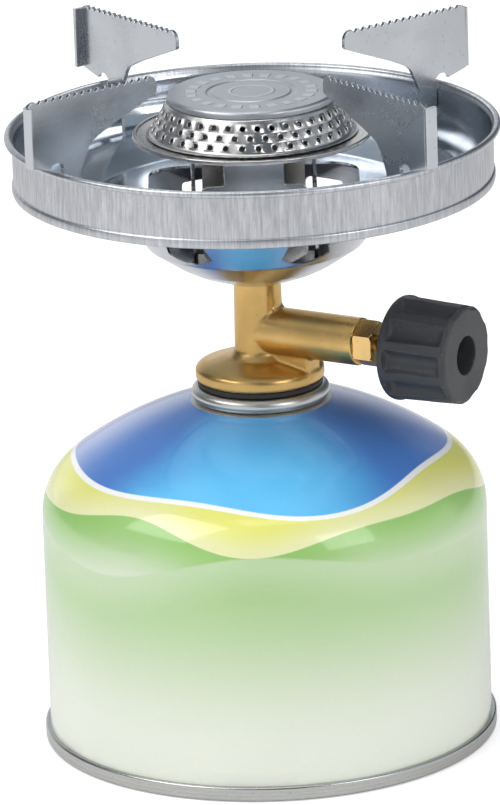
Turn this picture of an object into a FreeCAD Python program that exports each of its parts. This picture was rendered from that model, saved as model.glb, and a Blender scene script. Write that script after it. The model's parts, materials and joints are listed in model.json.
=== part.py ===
import FreeCAD, Part
import math
import os
import re
import Sketcher

# A camping stove of one burner, screwed on a resealable gas cartridge, in millimetres. The axis of the
# cartridge is Z, it stands on z = 0, and the arm with the knob points along +X.

SIZES = {
    # Cartridge
    "can_radius": 54.0,
    "can_wall": 0.4,
    "seam_stand": 1.2,
    "seam_width": 2.6,
    "seam_height": 3.5,
    "seam_rounding": 0.7,
    "panel_edge_height": 2.3,
    "panel_rise": 6.0,
    "shoulder_start": 56.4,
    "shoulder_radius": 15.8,
    "shoulder_sweep": 53.8,
    "crown_radius": 94.0,
    "neck_land_margin": 0.66,
    # Cup with the threaded neck
    "curl_inset": 2.54,
    "curl_radius": 1.8,
    "curl_inner_rounding": 1.1,
    "well_radius": 12.4,
    "well_depth": 5.2,
    "cup_sheet": 0.5,
    "neck_thread_radius": 5.555,
    "neck_thread_pitch": 0.907,
    "neck_thread_depth": 0.45,
    "neck_thread_turns": 6,
    "neck_rise": 3.0,
    "neck_wall": 1.355,
    "neck_lip_radius": 2.6,
    "neck_lip_thickness": 0.7,
    # Valve of the cartridge
    "slip_fit": 0.05,
    "valve_seal_thickness": 1.2,
    "valve_seal_hole": 1.5,
    "housing_length": 14.0,
    "housing_wall": 0.7,
    "housing_inlet_radius": 0.8,
    "poppet_radius": 2.8,
    "poppet_head": 1.3,
    "poppet_stem_radius": 1.1,
    "poppet_stem_length": 5.0,
    "poppet_open_travel": 0.8,
    "spring_wire": 0.5,
    "spring_mean_radius": 2.2,
    "spring_turns": 6,
    # Gasket between cartridge and stove
    "seat_gap": 0.05,
    "gasket_width": 2.6,
    "gasket_inset": 0.2,
    "gasket_thickness": 1.4,
    # Brass valve body
    "flange_margin": 0.4,
    "flange_rim": 2.1,
    "flange_foot_rounding": 0.6,
    "flange_shoulder_radius": 1.9,
    "flange_cone_rise": 1.5,
    "stem_radius": 5.95,
    "stem_top_radius": 5.7,
    "stem_foot_rounding": 1.4,
    "stem_length": 24.7,
    "spigot_radius": 4.0,
    "spigot_length": 8.4,
    "boss_clearance": 3.8,
    "boss_gap": 1.2,
    "arm_rise": 12.0,
    "arm_radius": 5.8,
    "arm_reach": 28.5,
    "web_thickness": 6.2,
    "web_reach": 14.9,
    "gas_bore_radius": 2.5,
    "gas_port_radius": 0.9,
    # Inlet
    "pin_radius": 1.05,
    "pin_collar_length": 1.8,
    "filter_length": 2.2,
    "inlet_ring_section": 0.8,
    # Spindle, gland and knob
    "spindle_radius": 2.1,
    "needle_seat_reach": 4.0,
    "needle_tip_radius": 0.35,
    "needle_length": 2.6,
    "ring_bore_reach": 9.0,
    "gland_depth": 9.5,
    "packing_length": 3.0,
    "packing_radius": 4.0,
    "spindle_ring_reach": 12.6,
    "spindle_ring_section": 0.7,
    "spindle_neck_depth": 0.49,
    "spindle_neck_margin": 0.15,
    "gland_head": 4.9,
    "gland_across_flats": 10.0,
    "knob_gap": 5.2,
    "knob_length": 18.1,
    "knob_back_radius": 12.7,
    "knob_front_radius": 12.0,
    "knob_back_rounding": 1.6,
    "knob_front_chamfer": 1.5,
    "knob_recess_radius": 4.65,
    "knob_recess_depth": 6.5,
    "knob_flutes": 10,
    "knob_flute_radius": 3.1,
    "knob_flute_depth": 1.1,
    "knob_flute_start": 2.3,
    "knob_flute_end": 2.4,
    "knob_hub_radius": 5.2,
    "knob_hub_length": 2.0,
    "screw_head_radius": 3.0,
    "screw_head_height": 2.0,
    "screw_shank_radius": 1.25,
    "screw_shank_length": 5.0,
    "screw_bore_margin": 0.5,
    "screw_slot": 0.7,
    # Jet, washer and nut on the brass stem
    "washer_radius": 7.2,
    "washer_thickness": 3.3,
    "nut_across_flats": 12.0,
    "nut_height": 3.2,
    "jet_shank_radius": 2.4,
    "jet_shank_length": 4.0,
    "jet_head_height": 2.6,
    "jet_across_flats": 6.0,
    "jet_nozzle_height": 1.6,
    "jet_hole_radius": 0.3,
    # Air bowl
    "bowl_sheet": 0.7,
    "bowl_floor_radius": 8.0,
    "bowl_low_radius": 15.9,
    "bowl_low_rise": 3.0,
    "bowl_knee_radius": 19.3,
    "bowl_knee_rise": 4.8,
    "bowl_side_radius": 26.2,
    "bowl_side_rise": 9.4,
    "bowl_top_radius": 33.5,
    "bowl_flange_width": 4.0,
    "window_count": 6,
    "window_width": 12.6,
    "window_height": 7.6,
    "window_lift": 9.6,
    "window_phase": 25.0,
    # Pan
    "pan_sheet": 0.6,
    "lip_height": 38.0,
    "lip_overhang": 2.55,
    "lip_bead_radius": 0.85,
    "band_proud": 0.2,
    "band_drop": 11.6,
    "rib_proud": 0.5,
    "rib_drop": 14.3,
    "wall_inner_radius": 56.9,
    "wall_drop": 6.5,
    "trough_radius": 6.5,
    "floor_drop": 16.6,
    "floor_flat_radius": 38.0,
    "opening_half_width": 25.5,
    "opening_corner_radius": 8.0,
    # Burner cradle
    "burner_turn": 30.0,
    "cradle_sheet": 0.9,
    "leg_offset": 15.0,
    "leg_wide": 25.0,
    "leg_tongue": 14.3,
    "leg_foot": 10.0,
    "leg_shoulder_drop": 11.0,
    "leg_wide_start": 7.4,
    # Burner head
    "brim_radius": 28.8,
    "brim_drop": 1.4,
    "brim_sheet": 0.8,
    "brim_edge": 1.1,
    "cone_foot_radius": 24.5,
    "cone_top_radius": 20.2,
    "cap_rise": 8.5,
    "head_sheet": 0.6,
    "cap_rounding": 1.2,
    "cap_ring_radius": 10.1,
    "cap_ring_width": 0.8,
    "cap_ring_depth": 0.3,
    "port_count": 38,
    "port_radius": 0.65,
    "port_low_rise": 2.0,
    "port_row_step": 2.1,
    "tube_radius": 6.4,
    "tube_wall": 0.6,
    "tube_bell_radius": 8.2,
    "tube_bell_height": 3.0,
    "jet_gap": 1.5,
    # Pot supports
    "support_turn": 67.5,
    "support_sheet": 1.0,
    "support_rise": 17.9,
    "support_overhang": 7.75,
    "support_inner_reach": 28.4,
    "support_tip_radius": 2.4,
    "support_tip_height": 4.4,
    "support_waist_reach": 44.0,
    "support_waist_rise": 7.6,
    "support_stem_width": 5.2,
    "support_stem_gap": 0.2,
    "support_curve_radius": 9.0,
    "support_tab_length": 4.2,
    "support_tab_drop": 14.6,
    "support_foot_rise": 0.7,
    "support_foot_slope": 1.6,
    "notch_radius": 1.9,
    "tooth_pitch": 2.1,
    "tooth_count": 16,
    "tooth_depth": 0.75,
    "tooth_start": 3.0,
    "wing_width": 3.1,
    "wing_low_rise": 1.6,
    "wing_top_drop": 1.0,
    "tab_slot_gap": 0.15,
}

# Heights and reaches that follow from the sizes above, as expressions of them.

SEAM_R = "(can_radius + seam_stand)"
SEAM_INNER_R = "(can_radius + seam_stand - seam_width)"
CURL_R = "(well_radius + curl_inset)"
NECK_LAND_R = "(well_radius + curl_inset + neck_land_margin)"
NECK_HOLE_R = "(well_radius + cup_sheet + slip_fit * 2)"
GASKET_HOLE_R = "(well_radius + gasket_inset)"
GASKET_R = "(well_radius + gasket_inset + gasket_width)"
FLANGE_R = "(well_radius + gasket_inset + gasket_width + flange_margin)"
BOSS_R = "(well_radius - boss_clearance)"
NECK_BORE_R = "(neck_thread_radius - neck_wall)"
PACKING_X = "(arm_reach - gland_depth)"
KNOB_X = "(arm_reach + gland_head + knob_gap)"
BOWL_FLANGE_R = "(bowl_top_radius + bowl_flange_width)"
LIP_R = "(wall_inner_radius + lip_overhang)"
BAND_R = "(wall_inner_radius + pan_sheet + band_proud)"
RIB_R = "(wall_inner_radius + pan_sheet + rib_proud)"
SUPPORT_R = "(wall_inner_radius + lip_overhang + support_overhang)"
SUPPORT_STEM_R = "(wall_inner_radius - support_stem_gap - support_stem_width)"
JOIN_R = "(can_radius - shoulder_radius + shoulder_radius * cos(shoulder_sweep))"
JOIN_Z = "(shoulder_start + shoulder_radius * sin(shoulder_sweep))"
CROWN_R = f"({JOIN_R} - crown_radius * cos(shoulder_sweep))"
CROWN_Z = f"({JOIN_Z} - crown_radius * sin(shoulder_sweep))"
NECK_Z = f"({CROWN_Z} + sqrt(crown_radius ^ 2 - ({NECK_LAND_R} - {CROWN_R}) ^ 2))"
CURL_Z = f"({NECK_Z} + curl_radius)"
CURL_TOP = f"({NECK_Z} + 2 * curl_radius)"
WELL_Z = f"({CURL_TOP} - well_depth)"
NECK_TOP = f"({CURL_TOP} + neck_rise)"
SEAL_TOP = f"({NECK_TOP} - neck_lip_thickness)"
SEAL_Z = f"({SEAL_TOP} - valve_seal_thickness)"
HOUSING_Z = f"({SEAL_Z} - housing_length)"
POPPET_TOP = f"({SEAL_Z} - poppet_open_travel)"
GASKET_Z = f"({CURL_TOP} + seat_gap)"
FLANGE_Z = f"({GASKET_Z} + gasket_thickness)"
FLANGE_TOP = f"({FLANGE_Z} + flange_rim + flange_shoulder_radius * 0.9)"
CONE_TOP = f"({FLANGE_TOP} + flange_cone_rise)"
STEM_TOP = f"({FLANGE_Z} + stem_length)"
SPIGOT_TOP = f"({STEM_TOP} + spigot_length)"
ARM_Z = f"({FLANGE_Z} + arm_rise)"
THREAD_BORE = "(neck_thread_radius + slip_fit)"
INLET_RING_Z = f"({NECK_TOP} + 2 * slip_fit + inlet_ring_section)"
THREAD_BORE_TOP = f"({INLET_RING_Z} + inlet_ring_section + slip_fit)"
LIP_Z = f"({STEM_TOP} + lip_height)"
FLOOR_Z = f"({LIP_Z} - floor_drop)"
CRADLE_Z = f"({STEM_TOP} + bowl_sheet + washer_thickness)"
BRIM_Z = f"({LIP_Z} - brim_drop)"
CAP_Z = f"({LIP_Z} + cap_rise)"
JET_TOP = f"({SPIGOT_TOP} + jet_head_height + jet_nozzle_height)"
SUPPORT_TOP = f"({LIP_Z} + support_rise)"
SPINDLE_NECK = "(spindle_radius - spindle_neck_depth)"
SPINDLE_RING_BORE = f"({SPINDLE_NECK} + 2 * spindle_ring_section + 2 * slip_fit)"
KNOB_END = f"({KNOB_X} + knob_length)"
SPINDLE_END = f"({KNOB_END} - knob_recess_depth - slip_fit)"

SPRING_WIRE_SIDES = 8

doc = FreeCAD.newDocument("CampingStove")
sheet = doc.addObject("Spreadsheet::Sheet", "Sizes")
for row, (alias, size) in enumerate(SIZES.items(), start=1):
    sheet.set(f"A{row}", alias)
    sheet.set(f"B{row}", str(size))
    sheet.setAlias(f"B{row}", alias)
doc.recompute()

subparts = []


def bound(text):
    """The expression with each alias read from the sheet."""
    return re.sub(r"[a-z_]+", lambda word: f"Sizes.{word[0]}" if word[0] in SIZES else word[0], str(text))


def value(text):
    """The number that an expression of the sizes comes to."""
    return float(subparts[0].evalExpression(bound(text))) if subparts else float(sheet.evalExpression(str(text)))


def new_body(label, height="0", turn="0"):
    """An empty body, raised along Z and turned about Z."""
    body = doc.addObject("PartDesign::Body", label)
    body.Label = label
    subparts.append(body)
    body.Placement.Rotation = FreeCAD.Rotation(FreeCAD.Vector(0, 0, 1), 0)
    body.setExpression("Placement.Base.z", bound(height))
    if turn != "0":
        body.Placement = FreeCAD.Placement(FreeCAD.Vector(), FreeCAD.Rotation(FreeCAD.Vector(0, 0, 1), value(turn)))
    return body


def origin_plane(body, role):
    return next(feature for feature in body.Origin.OriginFeatures if feature.Role == role)


def new_sketch(body, name, role, offset="0"):
    sketch = body.newObject("Sketcher::SketchObject", name)
    sketch.AttachmentSupport = (origin_plane(body, role), [""])
    sketch.MapMode = "FlatFace"
    sketch.setExpression(".AttachmentOffset.Base.z", bound(offset))
    return sketch


def bind_constraint(sketch, kind, elements, text):
    index = sketch.addConstraint(Sketcher.Constraint(kind, *elements, value(text)))
    sketch.setExpression(f"Constraints[{index}]", bound(text))


def add_outline(sketch, corners):
    """A closed outline. A corner is (x, y), or (x, y, radius, turn) where an arc leaves it: turn is 1 for
    counter-clockwise and -1 for clockwise."""
    first = sketch.GeometryCount
    spots = [(value(corner[0]), value(corner[1])) for corner in corners]
    ends = []
    for number, corner in enumerate(corners):
        start = FreeCAD.Vector(*spots[number], 0)
        end = FreeCAD.Vector(*spots[(number + 1) % len(corners)], 0)
        if len(corner) == 2:
            sketch.addGeometry(Part.LineSegment(start, end))
            ends.append((1, 2))
            continue
        radius, turn = value(corner[2]), corner[3]
        chord = end - start
        rise = math.sqrt(max(radius ** 2 - (chord.Length / 2) ** 2, 0))
        left = FreeCAD.Vector(-chord.y, chord.x, 0).normalize()
        centre = (start + end) / 2 + left * rise * turn
        low, high = (start, end) if turn > 0 else (end, start)
        angles = [math.atan2(spot.y - centre.y, spot.x - centre.x) for spot in (low, high)]
        circle = Part.Circle(centre, FreeCAD.Vector(0, 0, 1), radius)
        sketch.addGeometry(Part.ArcOfCircle(circle, angles[0], angles[1]))
        ends.append((1, 2) if turn > 0 else (2, 1))
    for number, corner in enumerate(corners):
        element = first + number
        after = (number + 1) % len(corners)
        sketch.addConstraint(Sketcher.Constraint("Coincident", element, ends[number][1], first + after, ends[after][0]))
        bind_constraint(sketch, "DistanceX", (-1, 1, element, ends[number][0]), corner[0])
        bind_constraint(sketch, "DistanceY", (-1, 1, element, ends[number][0]), corner[1])
        if len(corner) > 2:
            bind_constraint(sketch, "Radius", (element,), corner[2])


def add_circle(sketch, x, y, radius):
    centre = FreeCAD.Vector(value(x), value(y), 0)
    number = sketch.addGeometry(Part.Circle(centre, FreeCAD.Vector(0, 0, 1), value(radius)))
    bind_constraint(sketch, "DistanceX", (-1, 1, number, 3), x)
    bind_constraint(sketch, "DistanceY", (-1, 1, number, 3), y)
    bind_constraint(sketch, "Radius", (number,), radius)


def revolve(body, corners, axis="V_Axis", name="Turned"):
    sketch = new_sketch(body, name + "Profile", "XZ_Plane")
    add_outline(sketch, corners)
    feature = body.newObject("PartDesign::Revolution", name)
    feature.Profile = sketch
    feature.ReferenceAxis = (sketch, [axis])
    feature.Angle = 360
    return feature


def groove(body, corners, axis="V_Axis", name="Bore"):
    sketch = new_sketch(body, name + "Profile", "XZ_Plane")
    add_outline(sketch, corners)
    feature = body.newObject("PartDesign::Groove", name)
    feature.Profile = sketch
    feature.ReferenceAxis = (sketch, [axis])
    feature.Angle = 360
    return feature


def pad(body, sketch, length, name="Plate", both_sides=False, reverse=False):
    feature = body.newObject("PartDesign::Pad", name)
    feature.Profile = sketch
    feature.setExpression("Length", bound(length))
    feature.Midplane = both_sides
    feature.Reversed = reverse
    return feature


def pocket(body, sketch, length, name="Cut", both_sides=False, reverse=False):
    feature = body.newObject("PartDesign::Pocket", name)
    feature.Profile = sketch
    feature.setExpression("Length", bound(length))
    feature.Midplane = both_sides
    feature.Reversed = reverse
    return feature


def polar_pattern(body, features, role, count, name="Ring"):
    pattern = body.newObject("PartDesign::PolarPattern", name)
    pattern.Originals = features
    pattern.Axis = (origin_plane(body, role), [""])
    pattern.Angle = 360
    pattern.setExpression("Occurrences", bound(count))
    body.Tip = pattern
    return pattern


def linear_pattern(body, features, role, length, count, name="Row"):
    pattern = body.newObject("PartDesign::LinearPattern", name)
    pattern.Originals = features
    pattern.Direction = (origin_plane(body, role), [""])
    pattern.setExpression("Length", bound(length))
    pattern.setExpression("Occurrences", bound(count))
    body.Tip = pattern
    return pattern


def box_corners(x_low, y_low, x_high, y_high):
    return [(x_low, y_low), (x_high, y_low), (x_high, y_high), (x_low, y_high)]


def hexagon_corners(across_flats):
    """A hexagon round the sketch's origin with two flats square to its first axis."""
    half = f"{across_flats} / 2"
    side = f"{across_flats} / 2 * tan(30)"
    return [(half, f"-{side}"), (half, side), ("0", f"{across_flats} / 2 / cos(30)"),
            (f"-{half}", side), (f"-{half}", f"-{side}"), ("0", f"-{across_flats} / 2 / cos(30)")]


def sheet_ring(inner_r, outer_r, low, high):
    return box_corners(inner_r, low, outer_r, high)


# Cartridge

def make_cartridge_shell():
    body = new_body("cartridge_shell")
    inner_crown = "(crown_radius - can_wall)"
    inner_join_r = f"({JOIN_R} - can_wall * cos(shoulder_sweep))"
    inner_join_z = f"({JOIN_Z} - can_wall * sin(shoulder_sweep))"
    ceiling = f"({NECK_Z} - can_wall)"
    ceiling_r = f"({CROWN_R} + sqrt({inner_crown} ^ 2 - ({ceiling} - {CROWN_Z}) ^ 2))"
    revolve(body, [
        ("can_radius", "seam_height"),
        ("can_radius", "shoulder_start", "shoulder_radius", 1),
        (JOIN_R, JOIN_Z, "crown_radius", 1),
        (NECK_LAND_R, NECK_Z),
        (NECK_HOLE_R, NECK_Z),
        (NECK_HOLE_R, ceiling),
        (ceiling_r, ceiling, inner_crown, -1),
        (inner_join_r, inner_join_z, "shoulder_radius - can_wall", -1),
        ("can_radius - can_wall", "shoulder_start"),
        ("can_radius - can_wall", "seam_height")])


def make_cartridge_base():
    body = new_body("cartridge_base")
    dome = f"({SEAM_INNER_R} ^ 2 + panel_rise ^ 2) / (2 * panel_rise)"
    revolve(body, [
        (f"{SEAM_INNER_R} + seam_rounding", "0"),
        (f"{SEAM_R} - seam_rounding", "0", "seam_rounding", 1),
        (SEAM_R, "seam_rounding"),
        (SEAM_R, "seam_height - seam_rounding", "seam_rounding", 1),
        (f"{SEAM_R} - seam_rounding", "seam_height"),
        (SEAM_INNER_R, "seam_height"),
        (SEAM_INNER_R, "panel_edge_height + can_wall", dome, 1),
        ("0", "panel_edge_height + can_wall + panel_rise"),
        ("0", "panel_edge_height + panel_rise", dome, -1),
        (SEAM_INNER_R, "panel_edge_height"),
        (SEAM_INNER_R, "seam_rounding", "seam_rounding", 1)])


def make_valve_cup():
    body = new_body("valve_cup")
    revolve(body, [
        (NECK_BORE_R, f"{WELL_Z} - cup_sheet"),
        ("well_radius + cup_sheet", f"{WELL_Z} - cup_sheet"),
        ("well_radius + cup_sheet", NECK_Z),
        (CURL_R, NECK_Z, "curl_radius", 1),
        (f"{CURL_R} + curl_radius", CURL_Z, "curl_radius", 1),
        (CURL_R, CURL_TOP),
        ("well_radius + curl_inner_rounding", CURL_TOP, "curl_inner_rounding", 1),
        ("well_radius", f"{CURL_TOP} - curl_inner_rounding"),
        ("well_radius", WELL_Z),
        ("neck_thread_radius", WELL_Z),
        ("neck_thread_radius", f"{NECK_TOP} - 0.3"),
        ("neck_thread_radius - 0.3", NECK_TOP),
        ("neck_lip_radius", NECK_TOP),
        ("neck_lip_radius", SEAL_TOP),
        (NECK_BORE_R, SEAL_TOP)])
    first = f"({NECK_TOP} - 1.2 * neck_thread_pitch)"
    cut = groove(body, [
        ("neck_thread_radius + 0.1", f"{first} - 0.4 * neck_thread_pitch"),
        ("neck_thread_radius + 0.1", f"{first} + 0.4 * neck_thread_pitch"),
        ("neck_thread_radius - neck_thread_depth", f"{first} + 0.08 * neck_thread_pitch"),
        ("neck_thread_radius - neck_thread_depth", f"{first} - 0.08 * neck_thread_pitch")], name="Thread")
    turns = linear_pattern(body, [cut], "Z_Axis", "neck_thread_pitch * (neck_thread_turns - 1)", "neck_thread_turns")
    turns.Reversed = True


def make_cartridge_valve():
    outer = f"{NECK_BORE_R} - slip_fit"
    inner = f"({NECK_BORE_R} - slip_fit - housing_wall)"
    body = new_body("valve_housing")
    revolve(body, [
        ("housing_inlet_radius", HOUSING_Z),
        (outer, HOUSING_Z),
        (outer, SEAL_Z),
        (inner, SEAL_Z),
        (inner, f"{HOUSING_Z} + housing_wall"),
        ("housing_inlet_radius", f"{HOUSING_Z} + housing_wall")])
    body = new_body("valve_stem_seal")
    revolve(body, sheet_ring("valve_seal_hole", outer, SEAL_Z, SEAL_TOP))
    body = new_body("valve_poppet")
    head_z = f"({POPPET_TOP} - poppet_head)"
    revolve(body, [
        ("0", f"{head_z} - poppet_stem_length"),
        ("poppet_stem_radius", f"{head_z} - poppet_stem_length"),
        ("poppet_stem_radius", head_z),
        ("poppet_radius", head_z),
        ("poppet_radius", f"{POPPET_TOP} - 0.4"),
        ("poppet_radius - 0.4", POPPET_TOP),
        ("0", POPPET_TOP)])


def make_poppet_spring():
    """A coil between the housing's floor and the poppet's head, its round wire drawn with flat sides."""
    wire_r = value("spring_wire / 2")
    mean_r = value("spring_mean_radius")
    low = value(f"{HOUSING_Z} + housing_wall + slip_fit") + wire_r
    high = value(f"{POPPET_TOP} - poppet_head - slip_fit") - wire_r
    helix = Part.makeHelix((high - low) / value("spring_turns"), high - low, mean_r)
    side_turn = 2 * math.pi / SPRING_WIRE_SIDES
    corners = [FreeCAD.Vector(mean_r + wire_r * math.cos(side_turn * side), 0, wire_r * math.sin(side_turn * side))
               for side in range(SPRING_WIRE_SIDES + 1)]
    section = Part.makePolygon(corners)
    spring = doc.addObject("Part::Feature", "poppet_spring")
    spring.Label = "poppet_spring"
    spring.Shape = Part.Wire(helix).makePipeShell([section], True, True)
    spring.Placement.Base.z = low
    subparts.append(spring)


# Gasket that lifts with the stove

def make_base_gasket():
    body = new_body("base_gasket")
    edge = "gasket_thickness * 0.25"
    revolve(body, [
        (GASKET_HOLE_R, GASKET_Z),
        (f"{GASKET_R} - {edge}", GASKET_Z, edge, 1),
        (GASKET_R, f"{GASKET_Z} + {edge}"),
        (GASKET_R, f"{FLANGE_Z} - {edge}", edge, 1),
        (f"{GASKET_R} - {edge}", FLANGE_Z),
        (GASKET_HOLE_R, FLANGE_Z)])


# Brass valve body with its bores

def make_valve_body():
    body = new_body("valve_body")
    shoulder = "flange_shoulder_radius"
    boss_z = f"({WELL_Z} + boss_gap)"
    revolve(body, [
        ("0", boss_z),
        (BOSS_R, boss_z),
        (BOSS_R, FLANGE_Z),
        (f"{FLANGE_R} - flange_foot_rounding", FLANGE_Z, "flange_foot_rounding", 1),
        (FLANGE_R, f"{FLANGE_Z} + flange_foot_rounding"),
        (FLANGE_R, f"{FLANGE_Z} + flange_rim", shoulder, 1),
        (f"{FLANGE_R} - {shoulder} * 0.8", FLANGE_TOP),
        ("stem_radius + stem_foot_rounding", CONE_TOP, "stem_foot_rounding", -1),
        ("stem_radius", f"{CONE_TOP} + stem_foot_rounding"),
        ("stem_top_radius", STEM_TOP),
        ("spigot_radius", STEM_TOP),
        ("spigot_radius", SPIGOT_TOP),
        ("0", SPIGOT_TOP)])
    arm = new_sketch(body, "ArmSection", "YZ_Plane")
    add_circle(arm, "0", ARM_Z, "arm_radius")
    pad(body, arm, "arm_reach", name="Arm")
    web = new_sketch(body, "WebOutline", "XZ_Plane")
    add_outline(web, box_corners("0", f"{FLANGE_Z} + flange_rim", "web_reach", ARM_Z))
    pad(body, web, "web_thickness", name="Web", both_sides=True)
    groove(body, [
        ("0", f"{boss_z} - 1"),
        (f"{THREAD_BORE}", f"{boss_z} - 1"),
        (f"{THREAD_BORE}", THREAD_BORE_TOP),
        ("gas_bore_radius", THREAD_BORE_TOP),
        ("gas_bore_radius", f"{THREAD_BORE_TOP} + pin_collar_length + filter_length"),
        ("gas_port_radius", f"{THREAD_BORE_TOP} + pin_collar_length + filter_length"),
        ("gas_port_radius", f"{SPIGOT_TOP} - jet_shank_length"),
        ("jet_shank_radius + slip_fit", f"{SPIGOT_TOP} - jet_shank_length"),
        ("jet_shank_radius + slip_fit", f"{SPIGOT_TOP} + 1"),
        ("0", f"{SPIGOT_TOP} + 1")], name="GasWay")
    bores = (
        ("SeatPort", "0", "needle_tip_radius + 0.5"),
        ("NeedleChamber", "needle_seat_reach", "spindle_radius + slip_fit"),
        ("RingBore", "ring_bore_reach", SPINDLE_RING_BORE),
        ("GlandBore", PACKING_X, "packing_radius"))
    for name, start, radius in bores:
        section = new_sketch(body, name + "Section", "YZ_Plane", offset=start)
        add_circle(section, "0", ARM_Z, radius)
        pocket(body, section, f"arm_reach - {start} + 1", name=name, reverse=True)


def make_inlet():
    body = new_body("opening_pin")
    collar_z = THREAD_BORE_TOP
    revolve(body, [
        ("0.4", f"{POPPET_TOP} + slip_fit"),
        ("pin_radius", f"{POPPET_TOP} + slip_fit"),
        ("pin_radius", collar_z),
        ("gas_bore_radius - slip_fit / 2", collar_z),
        ("gas_bore_radius - slip_fit / 2", f"{collar_z} + pin_collar_length"),
        ("0.4", f"{collar_z} + pin_collar_length")])
    body = new_body("inlet_filter")
    filter_z = f"({collar_z} + pin_collar_length)"
    revolve(body, sheet_ring("0", "gas_bore_radius - slip_fit / 2", filter_z, f"{filter_z} + filter_length"))
    ring = doc.addObject("Part::Torus", "inlet_oring")
    ring.Label = "inlet_oring"
    subparts.append(ring)
    ring.setExpression("Radius1", bound(f"{THREAD_BORE} - inlet_ring_section - slip_fit"))
    ring.setExpression("Radius2", bound("inlet_ring_section"))
    ring.setExpression("Placement.Base.z", bound(INLET_RING_Z))


# Spindle, gland and knob, turned about the arm's axis

def make_spindle():
    body = new_body("spindle", height=ARM_Z)
    ring_low = "(spindle_ring_reach - spindle_ring_section - spindle_neck_margin)"
    ring_high = "(spindle_ring_reach + spindle_ring_section + spindle_neck_margin)"
    tip = "(needle_seat_reach + slip_fit)"
    screw = "(screw_shank_radius + slip_fit)"
    revolve(body, [
        (tip, "0"),
        (f"{tip} + needle_length", "0"),
        (f"{SPINDLE_END} - screw_shank_length - screw_bore_margin", "0"),
        (f"{SPINDLE_END} - screw_shank_length - screw_bore_margin", screw),
        (SPINDLE_END, screw),
        (SPINDLE_END, "spindle_radius"),
        (ring_high, "spindle_radius"),
        (ring_high, SPINDLE_NECK),
        (ring_low, SPINDLE_NECK),
        (ring_low, "spindle_radius"),
        (f"{tip} + needle_length", "spindle_radius"),
        (tip, "needle_tip_radius")], axis="H_Axis")
    ring = doc.addObject("Part::Torus", "spindle_oring")
    ring.Label = "spindle_oring"
    subparts.append(ring)
    ring.setExpression("Radius1", bound(f"{SPINDLE_NECK} + spindle_ring_section + slip_fit"))
    ring.setExpression("Radius2", bound("spindle_ring_section"))
    ring.Placement.Rotation = FreeCAD.Rotation(FreeCAD.Vector(0, 1, 0), 90)
    ring.setExpression("Placement.Base.x", bound("spindle_ring_reach"))
    ring.setExpression("Placement.Base.z", bound(ARM_Z))


def make_gland():
    body = new_body("gland_packing", height=ARM_Z)
    revolve(body, box_corners(PACKING_X, "spindle_radius + slip_fit",
                              f"{PACKING_X} + packing_length", "packing_radius - slip_fit"), axis="H_Axis")
    body = new_body("gland_nut", height=ARM_Z)
    head = new_sketch(body, "HeadSection", "YZ_Plane", offset="arm_reach")
    add_outline(head, hexagon_corners("gland_across_flats"))
    pad(body, head, "gland_head", name="Head")
    shank = new_sketch(body, "ShankSection", "YZ_Plane", offset=f"{PACKING_X} + packing_length")
    add_circle(shank, "0", "0", "packing_radius - slip_fit")
    pad(body, shank, f"arm_reach - {PACKING_X} - packing_length + 1", name="Shank")
    corner = "gland_across_flats / 2 / cos(30)"
    groove(body, [
        ("arm_reach + gland_head - 0.9", f"{corner} + 0.5"),
        ("arm_reach + gland_head + 0.1", f"{corner} + 0.5"),
        ("arm_reach + gland_head + 0.1", "gland_across_flats / 2 - 0.2")], axis="H_Axis", name="Bevel")
    bore = new_sketch(body, "BoreSection", "YZ_Plane", offset=PACKING_X)
    add_circle(bore, "0", "0", "spindle_radius + slip_fit")
    pocket(body, bore, "arm_reach + gland_head", name="Bore", reverse=True)


def make_knob():
    body = new_body("knob", height=ARM_Z)
    bore = "(spindle_radius + slip_fit)"
    revolve(body, [
        (f"{KNOB_X} - knob_hub_length", bore),
        (f"{KNOB_END} - knob_recess_depth", bore),
        (f"{KNOB_END} - knob_recess_depth", "knob_recess_radius"),
        (KNOB_END, "knob_recess_radius"),
        (KNOB_END, "knob_front_radius - knob_front_chamfer"),
        (f"{KNOB_END} - knob_front_chamfer", "knob_front_radius"),
        (f"{KNOB_X} + knob_back_rounding", "knob_back_radius", "knob_back_rounding", 1),
        (KNOB_X, "knob_back_radius - knob_back_rounding"),
        (KNOB_X, "knob_hub_radius"),
        (f"{KNOB_X} - knob_hub_length", "knob_hub_radius")], axis="H_Axis")
    flute = new_sketch(body, "FluteSection", "YZ_Plane", offset=f"{KNOB_X} + knob_flute_start")
    add_circle(flute, "0", "knob_front_radius - knob_flute_depth + knob_flute_radius", "knob_flute_radius")
    cut = pocket(body, flute, "knob_length - knob_flute_start - knob_flute_end", name="Flute", reverse=True)
    polar_pattern(body, [cut], "X_Axis", "knob_flutes")
    body = new_body("knob_screw", height=ARM_Z)
    seat = f"({KNOB_END} - knob_recess_depth + slip_fit)"
    revolve(body, [
        (f"{seat} - screw_shank_length", "0"),
        (f"{seat} + screw_head_height", "0"),
        (f"{seat} + screw_head_height", "screw_head_radius - 0.6"),
        (f"{seat} + screw_head_height - 0.6", "screw_head_radius"),
        (seat, "screw_head_radius"),
        (seat, "screw_shank_radius"),
        (f"{seat} - screw_shank_length", "screw_shank_radius")], axis="H_Axis")
    slot = new_sketch(body, "SlotOutline", "XZ_Plane")
    add_outline(slot, box_corners(f"{seat} + screw_head_height - 0.9", "-screw_slot / 2",
                                  f"{seat} + screw_head_height + 1", "screw_slot / 2"))
    pocket(body, slot, "screw_head_radius * 3", name="Slot", both_sides=True)


# What stands on the brass stem

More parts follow.
